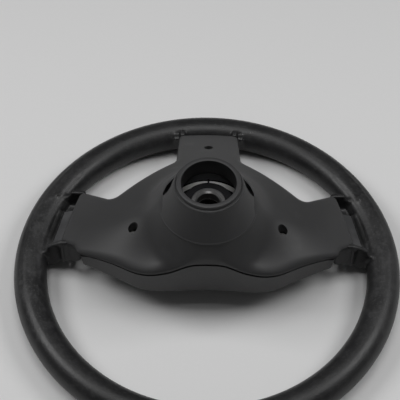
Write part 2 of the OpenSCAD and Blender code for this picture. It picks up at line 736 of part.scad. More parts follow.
module guide_bolts() {
    head_h = 2.6;
    color("#9a9c9f") on_rim_plane() for (g = guide_places) translate([g[0], g[1], 0]) {
        translate([0, 0, bush_top]) cylinder(h = head_h, r = guide_r + 2.6, $fn = 32);
        translate([0, 0, pad_frame_foot - 1.4]) cylinder(h = bush_top + 1 - pad_frame_foot + 1.4,
            r = guide_r, $fn = 32);
        translate([0, 0, pad_frame_foot - 1.4]) cylinder(h = 1.4, r = guide_r + 1.4, $fn = 32);
    }
}

// One coil spring along Z, standing on z = 0, as a swept round wire
module coil(height, mean_r, wire_r, turns) {
    sides_n = 5;
    per_turn = 10;
    rings = turns * per_turn;
    rise = height - 2 * wire_r;
    points = [for (k = [0 : rings]) for (j = [0 : sides_n - 1])
        let (a = 360 * k / per_turn, b = 360 * j / sides_n, r = mean_r + wire_r * cos(b))
        [r * cos(a), r * sin(a), wire_r + rise * k / rings + wire_r * sin(b)]];
    polyhedron(points, concat(
        [for (k = [0 : rings - 1]) for (j = [0 : sides_n - 1])
            let (a = k * sides_n + j, b = k * sides_n + (j + 1) % sides_n)
            each [[a, a + sides_n, b + sides_n], [a, b + sides_n, b]]],
        [[for (j = [0 : sides_n - 1]) j]],
        [[for (j = [sides_n - 1 : -1 : 0]) rings * sides_n + j]]));
}

module horn_springs() {
    color("#a8aaad") on_rim_plane() for (g = guide_places)
        translate([g[0], g[1], pad_frame_top + run])
            coil(bracket_foot - pad_frame_top - 2 * run, bush_out_r + spring_wire_r + 0.5,
                spring_wire_r, spring_turns);
}

// Rings of the pad, drawn in by a wall w: side wall, front edge fillet and front face
centre_r = 10;
function pad_edge_z(o) = parting_z(o) - parting_gap;
function pad_side(o, z, w) = let (p = o[0] - o[1] * (w + (pad_edge_z(o) - z) * tan(draft)))
    [p[0], p[1], z];
function pad_fillet(o) = max(4, o[2]);
function fillet_base(o) = pad_side(o, front_z(o[0]) + pad_fillet(o), 0);
function fillet_ring(a, w) = [for (o = outline)
    let (f = pad_fillet(o), b = fillet_base(o), q = plan(b) - o[1] * (f * (1 - cos(a)) + w * cos(a)))
    [q[0], q[1], b[2] - f * sin(a) + w * sin(a)]];
face_edge = [for (o = outline) plan(fillet_base(o)) - o[1] * pad_fillet(o)];
function face_ring(t, w) = [for (i = [0 : len(outline) - 1])
    let (p = rib_point(face_edge, i, centre_r, t)) [p[0], p[1], front_z(p) + w]];
function pad_rings(w) = concat(
    [[for (o = outline) pad_side(o, pad_edge_z(o), w)]],
    [for (a = [0, 45]) fillet_ring(a, w)],
    [for (t = [1, mouth_t, 0.4, 0]) face_ring(t, w)]);

pad_post_r = 5;
pad_posts = [for (s = sides) [s * 30, -26], for (s = sides) [s * 30, 30]];

module horn_pad() {
    way_room = 1.5;
    side_way_from = rim_r - 39.3;
    side_way_foot = 8.5;
    side_way_near = arm_waist + 4;
    far_way_from = spoke_end - pad_wall - 1.5;
    far_way_foot = 6.6;
    way_depth = 40;
    color("#323234") on_rim_plane() difference() {
        union() {
            capped_skin(concat(reversed(pad_rings(pad_wall)), pad_rings(0)));
            for (p = pad_posts) translate([p[0], p[1], pad_front + pad_wall - 0.5])
                cylinder(h = pad_frame_foot - pad_front - pad_wall + 0.5, r = pad_post_r, $fn = 32);
        }
        for (p = pad_posts) translate([p[0], p[1], pad_frame_foot - 12])
            cylinder(h = 20, r = 1.7, $fn = 24);
        // ways out for the arms
        for (s = [0, 1]) mirror([s, 0, 0]) rotate([0, 0, arm_angle])
            translate([side_way_from, -side_way_near, side_way_foot])
                cube([way_depth, side_way_near + arm_tip_half + way_room, way_depth]);
        rotate([0, 0, 90]) translate([far_way_from, -far_tip_half - way_room, far_way_foot])
            cube([way_depth, 2 * (far_tip_half + way_room), way_depth]);
    }
}

module pad_frame() {
    color("#9b9da0") on_rim_plane() difference() {
        translate([0, 0, pad_frame_foot]) linear_extrude(pad_frame_t) difference() {
            union() {
                square([92, 50], center = true);
                translate([-36, -33]) square([72, 70]);
            }
            circle(boss_r + 6, $fn = smooth);
        }
        for (g = guide_places) translate([g[0], g[1], 0])
            cylinder(h = far, r = guide_r + run, $fn = 32);
        for (p = pad_posts) translate([p[0], p[1], 0]) cylinder(h = far, r = 1.8, $fn = 24);
        for (s = sides) translate([s * contact_pitch, contact_y, 0])
            cylinder(h = far, r = 1.1 + run, $fn = 24);
    }
}

module pad_screws() {
    color("#8b8d90") on_rim_plane() for (p = pad_posts)
        translate([p[0], p[1], pad_frame_top]) difference() {
            union() {
                cylinder(h = 2, r = 3.4, $fn = 32);
                translate([0, 0, -11]) cylinder(h = 11.5, r = 1.6, $fn = 24);
            }
            for (a = [0, 90]) rotate([0, 0, a]) translate([-1.6, -0.35, 1]) cube([3.2, 0.7, 2]);
        }
}

contact_y = -23;
contact_pitch = 7;
strip_t = 0.8;
strip_half = 4;
contact_gap = travel + 0.1;
insulator_t = 3;
fixed_foot = bracket_foot - insulator_t - strip_t;

module moving_contact() {
    tip_z = fixed_foot - contact_gap;
    stem = 1.8;
    color("#b08d45") on_rim_plane() {
        translate([-11, contact_y - strip_half, pad_frame_top]) cube([22, 2 * strip_half, strip_t]);
        for (s = sides) translate([s * contact_pitch, contact_y, pad_frame_foot])
            cylinder(h = pad_frame_t + 0.5, r = 1.1, $fn = 24);
        translate([0, contact_y, pad_frame_top]) cylinder(h = tip_z - pad_frame_top, r = stem,
            $fn = 32);
    }
}

module fixed_contact() {
    tail_y = lead_y - 3;
    color("#b08d45") on_rim_plane() difference() {
        union() {
            translate([-11, contact_y - strip_half, fixed_foot]) cube([22, 2 * strip_half, strip_t]);
            translate([-2.5, tail_y, fixed_foot]) cube([5, contact_y - tail_y, strip_t]);
        }
        for (s = sides) translate([s * contact_pitch, contact_y, 0])
            cylinder(h = far, r = 1.1 + run, $fn = 24);
        at_lead() cylinder(h = far, r = lead_r + run, $fn = 24);
    }
}

module contact_insulator() {
    color("#b9b4a6") on_rim_plane() difference() {
        translate([-12, contact_y - strip_half, bracket_foot - insulator_t])
            cube([24, 2 * strip_half, insulator_t]);
        for (s = sides) translate([s * contact_pitch, contact_y, 0])
            cylinder(h = far, r = 1.1 + run, $fn = 24);
        cylinder(h = far, r = boss_r + 1, $fn = smooth);
    }
}

module contact_rivets() {
    color("#9a9c9f") on_rim_plane() for (s = sides)
        translate([s * contact_pitch, contact_y, 0]) {
            translate([0, 0, fixed_foot - 0.6]) cylinder(h = 0.6, r = 2, $fn = 24);
            translate([0, 0, fixed_foot - 0.3])
                cylinder(h = bracket_top - fixed_foot + 0.5, r = 1.1, $fn = 24);
            translate([0, 0, bracket_top]) cylinder(h = 0.8, r = 2, $fn = 24);
        }
}

module horn_lead() {
    lead_top = carrier_top - slip_t;
    color("#5a2f22") on_rim_plane() at_lead()
        translate([0, 0, fixed_foot - 1]) cylinder(h = lead_top - fixed_foot + 1, r = lead_r,
            $fn = 24);
}

rim_core();
rim_grip();
spoke_frame();
hub_boss();
slip_ring_carrier();
slip_ring();
carrier_rivets();
back_cover();
cover_screws();
cover_nuts();
pad_bracket();
guide_bushes();
guide_bolts();
horn_springs();
horn_pad();
pad_frame();
pad_screws();
moving_contact();
fixed_contact();
contact_insulator();
contact_rivets();
horn_lead();
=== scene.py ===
"""Looks of a three-spoke car steering wheel that lies on its face with the column side up."""

import json
import logging
import math
from collections.abc import Callable
from dataclasses import dataclass
from enum import Enum

import bpy
from mathutils import Matrix, Vector


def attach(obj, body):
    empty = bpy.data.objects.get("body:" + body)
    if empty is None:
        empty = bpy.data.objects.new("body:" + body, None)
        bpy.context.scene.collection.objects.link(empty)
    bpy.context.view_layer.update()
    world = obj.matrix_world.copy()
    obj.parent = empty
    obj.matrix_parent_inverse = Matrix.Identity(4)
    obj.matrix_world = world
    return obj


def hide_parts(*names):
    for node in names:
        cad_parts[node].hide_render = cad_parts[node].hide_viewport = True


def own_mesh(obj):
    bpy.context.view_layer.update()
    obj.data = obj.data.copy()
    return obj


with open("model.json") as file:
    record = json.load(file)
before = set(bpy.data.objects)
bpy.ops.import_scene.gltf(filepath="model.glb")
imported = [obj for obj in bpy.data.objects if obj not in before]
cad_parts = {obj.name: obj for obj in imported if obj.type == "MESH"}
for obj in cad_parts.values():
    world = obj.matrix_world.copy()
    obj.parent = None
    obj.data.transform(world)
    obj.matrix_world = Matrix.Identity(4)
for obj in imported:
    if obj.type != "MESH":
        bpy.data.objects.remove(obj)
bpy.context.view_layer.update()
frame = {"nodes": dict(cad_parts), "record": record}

logging.basicConfig(level=logging.INFO, format="%(message)s")
log = logging.getLogger("steering_wheel")

MM = 0.001
RIM_PLANE = 15.7
WELD_GAP = 0.01 * MM
ABOVE_ALL = 140.0
Point = tuple[float, float]
Place = tuple[float, float, float]
Colour = tuple[float, float, float]


class Body(Enum):
    """The two rigid bodies of the wheel."""

    WHEEL = "wheel"
    PAD = "pad"


class Cut(Enum):
    """What a solid does to another one."""

    AWAY = "DIFFERENCE"
    UNITE = "UNION"


class Slot(Enum):
    """The record's material slots."""

    RIM_FOAM = "rim_foam"
    COVER_PLASTIC = "cover_plastic"
    PAD_PLASTIC = "pad_plastic"
    CARRIER_PLASTIC = "carrier_plastic"
    BUSH_PLASTIC = "bush_plastic"
    INSULATOR_BOARD = "insulator_board"
    LEAD_SLEEVE = "lead_sleeve"
    BLACK_STEEL = "black_steel"
    CORE_STEEL = "core_steel"
    HUB_STEEL = "hub_steel"
    RING_METAL = "ring_metal"
    FASTENER_STEEL = "fastener_steel"
    SPRING_STEEL = "spring_steel"
    ZINC_STEEL = "zinc_steel"
    CONTACT_BRASS = "contact_brass"


# Hand tools


def deselect() -> None:
    """Leave edit mode and select nothing."""
    if bpy.context.mode != "OBJECT":
        bpy.ops.object.mode_set(mode="OBJECT")
    bpy.ops.object.select_all(action="DESELECT")


def take(piece: bpy.types.Object) -> None:
    """Select one piece alone and make it active.

    Args:
        piece: The piece to work on.
    """
    deselect()
    piece.select_set(True)
    bpy.context.view_layer.objects.active = piece


def finish_modifier(piece: bpy.types.Object, kind: str, settings: dict[str, object]) -> None:
    """Add a modifier, set it up and apply it.

    Args:
        piece: The piece that gets it.
        kind: Blender's name of the modifier type.
        settings: Its settings by name.
    """
    take(piece)
    modifier = piece.modifiers.new(kind.lower(), kind)
    for name, value in settings.items():
        setattr(modifier, name, value)
    bpy.ops.object.modifier_apply(modifier=modifier.name)


def edit_all(piece: bpy.types.Object, work: Callable[[], None]) -> None:
    """Run a piece of edit-mode work with the whole mesh selected.

    Args:
        piece: The piece to edit.
        work: What to do.
    """
    take(piece)
    bpy.ops.object.mode_set(mode="EDIT")
    bpy.ops.mesh.select_all(action="SELECT")
    work()
    bpy.ops.object.mode_set(mode="OBJECT")


def weld(piece: bpy.types.Object) -> None:
    """Merge vertices that lie on each other."""
    edit_all(piece, lambda: bpy.ops.mesh.remove_doubles(threshold=WELD_GAP))


def face_out(piece: bpy.types.Object) -> None:
    """Turn all faces outwards."""
    edit_all(piece, lambda: bpy.ops.mesh.normals_make_consistent(inside=False))


def smooth(piece: bpy.types.Object, angle: float = 35.0) -> None:
    """Shade a piece smooth up to an angle between faces, in degrees."""
    take(piece)
    bpy.ops.object.shade_smooth_by_angle(angle=math.radians(angle))


def settle(piece: bpy.types.Object) -> None:
    """Apply a piece's place, turn and scale, so that it sits at the origin."""
    take(piece)
    bpy.ops.object.transform_apply(location=True, rotation=True, scale=True)


def merged_copy(node: str, name: str) -> bpy.types.Object:
    """Copy a CAD node's mesh into a new object and weld its loose triangles.

    Args:
        node: Name of the CAD node.
        name: Name of the new piece.

    Returns:
        The new piece.
    """
    source = frame["nodes"][node]
    copy = source.copy()
    copy.data = source.data.copy()
    copy.name = copy.data.name = name
    bpy.context.scene.collection.objects.link(copy)
    copy.parent = None
    copy.matrix_world = Matrix.Identity(4)
    copy.data.materials.clear()
    weld(copy)
    return copy


def turned(name: str, profile: list[Point], steps: int) -> bpy.types.Object:
    """Turn a closed profile round the steering axis by drawing a ring out from point to point.

    Args:
        name: Name of the piece.
        profile: Radius and height of each point, in millimetres above the rim's middle plane.
        steps: Number of steps round the axis.

    Returns:
        The turned piece.
    """
    deselect()
    r, z = profile[0]
    bpy.ops.mesh.primitive_circle_add(vertices=steps, radius=r * MM,
                                      location=(0, 0, (z + RIM_PLANE) * MM))
    piece = bpy.context.object
    piece.name = piece.data.name = name
    settle(piece)
    bpy.ops.object.mode_set(mode="EDIT")
    bpy.ops.mesh.select_all(action="SELECT")
    for next_r, next_z in profile[1:]:
        bpy.ops.mesh.extrude_edges_move(
            TRANSFORM_OT_translate={"value": (0, 0, (next_z - z) * MM)})
        scale = next_r / r
        bpy.ops.transform.resize(value=(scale, scale, 1), center_override=(0, 0, 0))
        r, z = next_r, next_z
    bpy.ops.mesh.select_all(action="DESELECT")
    bpy.ops.mesh.select_non_manifold()
    bpy.ops.mesh.bridge_edge_loops()
    bpy.ops.mesh.select_all(action="SELECT")
    bpy.ops.mesh.normals_make_consistent(inside=False)
    bpy.ops.object.mode_set(mode="OBJECT")
    return piece


def rod(name: str, radius: float, low: float, high: float, place: Point) -> bpy.types.Object:
    """Add an upright rod, used as a cutter or to be shaped further.

    Args:
        name: Name of the piece.
        radius: Its radius in millimetres.
        low: Height of its foot above the rim's middle plane.
        high: Height of its top.
        place: Its place in plan, in millimetres.

    Returns:
        The rod.
    """
    deselect()
    bpy.ops.mesh.primitive_cylinder_add(
        vertices=48, radius=radius * MM, depth=(high - low) * MM,
        location=(place[0] * MM, place[1] * MM, ((low + high) / 2 + RIM_PLANE) * MM))
    piece = bpy.context.object
    piece.name = piece.data.name = name
    settle(piece)
    return piece


def joined(pieces: list[bpy.types.Object], name: str) -> bpy.types.Object:
    """Join several pieces into one object.

    Args:
        pieces: The pieces.
        name: Name of the result.

    Returns:
        The joined piece.
    """
    take(pieces[0])
    for piece in pieces:
        piece.select_set(True)
    if len(pieces) > 1:
        bpy.ops.object.join()
    pieces[0].name = pieces[0].data.name = name
    return pieces[0]


def cut(piece: bpy.types.Object, cutter: bpy.types.Object, how: Cut = Cut.AWAY) -> None:
    """Cut a piece with a cutter, or unite them, and throw the cutter away.

    Blender refuses a piece that has open edges. It then only logs a warning and leaves the
    piece as it is.

    Args:
        piece: The piece that stays.
        cutter: The other solid.
        how: Whether the cutter is cut away or united.
    """
    finish_modifier(piece, "BOOLEAN", {"operation": how.value, "object": cutter,
                                       "solver": "MANIFOLD"})
    bpy.data.objects.remove(cutter)


# Paint maths


class Wire:
    """A value in a shader: a socket, with arithmetic that adds the Math nodes it needs."""

    def __init__(self, paint: "Paint", socket: bpy.types.NodeSocket) -> None:
        """Wrap a socket of one material.

        Args:
            paint: The material that the socket belongs to.
            socket: The output socket.
        """
        self.paint = paint
        self.socket = socket

    def _math(self, how: str, a: object, b: object) -> "Wire":
        """Add one Math node on two values.

        Args:
            how: Blender's name of the operation.
            a: First value.
            b: Second value.

        Returns:
            The result.
        """
        node = self.paint.node("ShaderNodeMath", {"operation": how}, {0: a, 1: b})
        return Wire(self.paint, node.outputs[0])

    def __add__(self, other: object) -> "Wire":
        """Sum."""
        return self._math("ADD", self, other)

    def __radd__(self, other: object) -> "Wire":
        """Sum, from the right."""
        return self._math("ADD", other, self)

    def __sub__(self, other: object) -> "Wire":
        """Difference."""
        return self._math("SUBTRACT", self, other)

    def __rsub__(self, other: object) -> "Wire":
        """Difference, from the right."""
        return self._math("SUBTRACT", other, self)

    def __mul__(self, other: object) -> "Wire":
        """Product."""
        return self._math("MULTIPLY", self, other)

    def __rmul__(self, other: object) -> "Wire":
        """Product, from the right."""
        return self._math("MULTIPLY", other, self)

    def stronger(self, other: object) -> "Wire":
        """The larger of two values."""
        return self._math("MAXIMUM", self, other)

    def between(self, low: float, high: float) -> "Wire":
        """Ease from 0 at low to 1 at high.

        Args:
            low: The value that gives 0.
            high: The value that gives 1.

        Returns:
            The eased value.
        """
        node = self.paint.node(
            "ShaderNodeMapRange", {"interpolation_type": "SMOOTHSTEP"},
            {"Value": self, "From Min": low, "From Max": high, "To Min": 0.0, "To Max": 1.0})
        return Wire(self.paint, node.outputs["Result"])


class Paint:
    """One material in the making."""

    def __init__(self, name: str) -> None:
        """Start a material with an empty shader.

        Args:
            name: Name of the material.
        """
        self.material = bpy.data.materials.new(name)
        self.material.use_nodes = True
        self.tree = self.material.node_tree
        self.tree.nodes.clear()
        self.surface = self.node("ShaderNodeBsdfPrincipled", {}, {})
        self.node("ShaderNodeOutputMaterial", {}, {"Surface": self.surface.outputs[0]})
        self.place = self.node("ShaderNodeTexCoord", {}, {}).outputs["Object"]

    def node(self, kind: str, settings: dict[str, object],
             inputs: dict[str | int, object]) -> bpy.types.Node:
        """Add a node, set it up, then fill its sockets.

        Args:
            kind: Blender's name of the node type.
            settings: Settings by name, set first.
            inputs: Values, sockets or wires by socket name or number.

        Returns:
            The node.
        """
        node = self.tree.nodes.new(kind)
        for name, value in settings.items():
            setattr(node, name, value)
        for key, value in inputs.items():
            socket = node.inputs[key]
            if isinstance(value, Wire):
                value = value.socket
            if isinstance(value, bpy.types.NodeSocket):
                self.tree.links.new(value, socket)
            else:
                socket.default_value = value
        return node

    def noise(self, scale: float, detail: float = 2.0, rough: float = 0.5,
              stretch: Place = (1, 1, 1)) -> Wire:
        """Cloudy noise.

        Args:
            scale: Waves for each metre.
            detail: Number of finer layers.
            rough: Strength of the finer layers.
            stretch: Scale along each axis.

        Returns:
            The noise from 0 to 1.
        """
        place = self.node("ShaderNodeMapping", {}, {"Vector": self.place, "Scale": stretch})
        node = self.node("ShaderNodeTexNoise", {},
                         {"Vector": place.outputs[0], "Scale": scale, "Detail": detail,
                          "Roughness": rough})
        return Wire(self, node.outputs["Fac"])

    def cells(self, scale: float) -> Wire:
        """Pebble pattern, the softened distance to the middle of the nearest cell.

        Args:
            scale: Cells for each metre.

        Returns:
            The distance.
        """
        node = self.node("ShaderNodeTexVoronoi", {"feature": "SMOOTH_F1"},
                         {"Vector": self.place, "Scale": scale})
        return Wire(self, node.outputs["Distance"])

    def near(self, centre: Place, reach: Place) -> Wire:
        """A soft spot: 1 at its centre, falling to 0 at its reach.

        Args:
            centre: Middle of the spot in metres.
            reach: Its reach along each axis in metres.

        Returns:
            The mask.
        """
        scale = tuple(1 / v for v in reach)
        shift = tuple(-c / v for c, v in zip(centre, reach))
        place = self.node("ShaderNodeMapping", {},
                          {"Vector": self.place, "Location": shift, "Scale": scale})
        length = self.node("ShaderNodeVectorMath", {"operation": "LENGTH"},
                           {0: place.outputs[0]})
        return 1 - Wire(self, length.outputs["Value"]).between(0.0, 1.0)

    def near_any(self, centres: list[Place], reach: Place) -> Wire:
        """Soft spots round several centres.

        Args:
            centres: Middles of the spots in metres.
            reach: Their reach along each axis in metres.

        Returns:
            The mask.
        """
        spots = self.near(centres[0], reach)
        for centre in centres[1:]:
            spots = spots.stronger(self.near(centre, reach))
        return spots

    def inside_bore(self, radius: float) -> Wire:
        """Mask of what lies within a radius of the steering axis.

        Args:
            radius: The radius in metres.

        Returns:
            The mask, 1 inside.
        """
        flat = self.node("ShaderNodeVectorMath", {"operation": "MULTIPLY"},
                         {0: self.place, 1: (1.0, 1.0, 0.0)})
        length = self.node("ShaderNodeVectorMath", {"operation": "LENGTH"},
                           {0: flat.outputs[0]})
        return 1 - Wire(self, length.outputs["Value"]).between(radius - BORE_BLUR, radius)

    def blend(self, mask: Wire, low: Colour | bpy.types.NodeSocket,
              high: Colour | bpy.types.NodeSocket) -> bpy.types.NodeSocket:
        """Mix two colours by a mask.

        Args:
            mask: 0 for low and 1 for high.
            low: First colour.
            high: Second colour.

        Returns:
            The colour socket.
        """
        node = self.node("ShaderNodeMix", {"data_type": "RGBA"}, {})
        for number, value in ((6, low), (7, high)):
            if isinstance(value, bpy.types.NodeSocket):
                self.tree.links.new(value, node.inputs[number])
            else:
                node.inputs[number].default_value = (*value, 1.0)
        self.tree.links.new(mask.socket, node.inputs[0])
        return node.outputs[2]

    def relief(self, height: Wire, depth: float) -> None:
        """Feed a height map to the surface's normal.

        Args:
            height: Height from 0 to 1.
            depth: Real height of 1, in metres.
        """
        bump = self.node("ShaderNodeBump", {}, {"Height": height, "Distance": depth,
                                                "Strength": 1.0})
        self.tree.links.new(bump.outputs[0], self.surface.inputs["Normal"])

    def set(self, **values: object) -> None:
        """Fill sockets of the surface shader.

        Args:
            **values: Values, sockets or wires by socket name, with underscores for spaces.
        """
        for name, value in values.items():
            socket = self.surface.inputs[name.replace("_", " ")]
            if isinstance(value, Wire):
                value = value.socket
            if isinstance(value, bpy.types.NodeSocket):
                self.tree.links.new(value, socket)
            else:
                socket.default_value = value


# Finishes


BORE_BLUR = 0.0004
# Hand places on the rim's sides, where the foam is worn and also lightened as painted light.
HELD_AND_LIT_PLACES: list[Place] = [(-0.168, -0.01, 0.028), (0.168, -0.01, 0.028)]
# Middles of the painted shade in the pockets round the side arm ends.
SHADED_POCKET_PLACES: list[Place] = [(-0.1465, 0.033, 0.018), (0.1465, 0.033, 0.018)]
SCUFF_PLACES: list[Place] = [(-0.0409, 0.1554, 0.0289), (0.0133, 0.165, 0.031),
                             (0.0406, 0.1571, 0.0297), (-0.1533, 0.0316, 0.0248)]


def shaded(colour: Colour, share: float) -> Colour:
    """A share of a colour."""
    return tuple(v * share for v in colour)


@dataclass(frozen=True)
class Moulding:
    """Moulded black plastic with a fine grain and slightly uneven gloss.

    Within the bore of the collar it is darkened with painted shade.
    """

    name: str
    colour: Colour
    sheen: Colour
    gloss: float = 0.5
    grain: float = 1500.0
    depth: float = 0.00004
    paints_bore_shade: bool = False
    ior: float = 1.48
    bore_r: float = 0.0246
    bore_shade: float = 0.22

    def build(self) -> bpy.types.Material:
        """Build the material.

        Returns:
            The material.
        """
        paint = Paint(self.name)
        cloud = paint.noise(14.0, 3.0)
        fine = paint.noise(self.grain, 2.0, 0.6)
        pebble = paint.cells(self.grain * 0.6)
        rubbed = paint.noise(45.0, 4.0, 0.65).between(0.55, 0.78)
        colour = paint.blend(cloud.between(0.3, 0.7) * 0.6 + rubbed * 0.4,
                             self.colour, self.sheen)
        if self.paints_bore_shade:
            # Painted shade: the collar's bore is darkened to stand in for the shade inside it.
            darkened_bore = paint.inside_bore(self.bore_r)
            colour = paint.blend(darkened_bore, colour, shaded(self.colour, self.bore_shade))
        paint.set(Base_Color=colour, IOR=self.ior,
                  Roughness=self.gloss + (cloud - 0.5) * 0.14 - rubbed * 0.05 + fine * 0.04)
        paint.relief(fine * 0.5 + pebble * 0.5, self.depth)
        return paint.material


@dataclass(frozen=True)
class GripFoam:
    """Skinned foam of the rim: a leather-like grain, worn smooth and dulled in places.

    It is worn most where the hands hold it, and lightened there as painted light on the rim's
    sides. In the pockets round the side arms it is darkened with painted shade.
    """

    name: str
    colour: Colour
    dull: Colour
    scuff: Colour
    gloss: float = 0.36
    grain: float = 620.0
    depth: float = 0.00013
    scuff_reach: Place = (0.011, 0.006, 0.008)
    held_and_lit_reach: Place = (0.05, 0.15, 0.045)
    shaded_pocket_reach: Place = (0.017, 0.036, 0.02)
    pocket_shade: float = 0.3

    def build(self) -> bpy.types.Material:
        """Build the material.

        Returns:
            The material.
        """
        paint = Paint(self.name)
        cloud = paint.noise(18.0, 4.0, 0.6)
        warp = paint.noise(160.0, 2.0)
        cells = paint.cells(self.grain)
        fine = paint.noise(1900.0, 2.0, 0.6)
        marks = paint.noise(260.0, 5.0, 0.75).between(0.56, 0.72)
        scuffed = paint.near_any(SCUFF_PLACES, self.scuff_reach) * marks
        streaks = paint.noise(110.0, 5.0, 0.7).between(0.46, 0.68)
        flecks = paint.noise(520.0, 3.0, 0.7).between(0.53, 0.66)
        # The hand places are worn, and are also lightened as painted light on the rim's sides.
        held_wear_and_light = paint.near_any(HELD_AND_LIT_PLACES, self.held_and_lit_reach)
        wear_and_light = cloud.between(0.35, 0.75) * 0.25 + streaks * 0.3 + flecks * 0.5
        wear_and_light = wear_and_light * (0.8 + held_wear_and_light * 1.2)
        colour = paint.blend(wear_and_light * 0.75 + fine * 0.15, self.colour, self.dull)
        colour = paint.blend(scuffed, colour, self.scuff)
        # Painted shade: the foam in the pockets round the side arm ends is darkened to stand
        # in for the shade there.
        pocket_painted_shade = paint.near_any(SHADED_POCKET_PLACES, self.shaded_pocket_reach).between(0.1, 0.5)
        colour = paint.blend(pocket_painted_shade, colour, shaded(self.colour, self.pocket_shade))
        paint.set(Base_Color=colour, IOR=1.46,
                  Roughness=self.gloss + wear_and_light * 0.26 + (fine - 0.5) * 0.1 + scuffed * 0.2)
        paint.relief(cells * 0.62 + warp * 0.22 + fine * 0.16, self.depth)
        return paint.material


@dataclass(frozen=True)
class Metal:
    """Bare or plated metal with tool marks and a little staining.

    Within a bore of the given radius in metres it is darker and rougher.
    """

    name: str
    colour: Colour
    stain: Colour
    gloss: float = 0.35
    marks: float = 900.0
    stretch: Place = (1, 1, 1)
    depth: float = 0.00001
    metallic: float = 1.0
    dark_bore: float = 0.0
    bore_dark_share: float = 0.08

    def build(self) -> bpy.types.Material:
        """Build the material.

        Returns:
            The material.
        """
        paint = Paint(self.name)
        cloud = paint.noise(60.0, 4.0, 0.6)
        lines = paint.noise(self.marks, 3.0, 0.6, self.stretch)
        colour = paint.blend(cloud.between(0.45, 0.75), self.colour, self.stain)
        rough = self.gloss + (lines - 0.5) * 0.2 + cloud.between(0.5, 0.8) * 0.12
        if self.dark_bore:
            # Within the bore the colour is darkened and the roughness raised.
            darkened_bore = paint.inside_bore(self.dark_bore)
            colour = paint.blend(darkened_bore, colour, shaded(self.stain, self.bore_dark_share))
            rough = rough + darkened_bore * 0.4
        paint.set(Base_Color=colour, Metallic=self.metallic, Roughness=rough)
        paint.relief(lines, self.depth)
        return paint.material


@dataclass(frozen=True)
class DippedSteel:
    """Pressed steel under a thin black dip coat."""

    name: str
    colour: Colour
    chalk: Colour
    gloss: float = 0.42
    depth: float = 0.00002

    def build(self) -> bpy.types.Material:
        """Build the material.

        Returns:
            The material.
        """
        paint = Paint(self.name)
        orange = paint.noise(700.0, 2.0)
        cloud = paint.noise(35.0, 4.0, 0.6)
        colour = paint.blend(cloud.between(0.4, 0.75), self.colour, self.chalk)
        paint.set(Base_Color=colour, Roughness=self.gloss + (cloud - 0.5) * 0.2, IOR=1.5)
        paint.relief(orange, self.depth)
        return paint.material


@dataclass(frozen=True)
class Backdrop:
    """Pale paper that the wheel lies on, which throws little light back up at it."""

    name: str
    colour: Colour
    bounce: Colour
    fibre_shade: float = 0.985

    def build(self) -> bpy.types.Material:
        """Build the material.

        Returns:
            The material.
        """
        paint = Paint(self.name)
        fibre = paint.noise(300.0, 2.0)
        pale = paint.blend(fibre, self.colour, shaded(self.colour, self.fibre_shade))
        rays = paint.node("ShaderNodeLightPath", {}, {}).outputs
        seen = (Wire(paint, rays["Is Camera Ray"]) + Wire(paint, rays["Is Glossy Ray"])
                + Wire(paint, rays["Is Transmission Ray"]))
        paint.set(Base_Color=paint.blend(seen, self.bounce, pale), Roughness=0.9)
        return paint.material


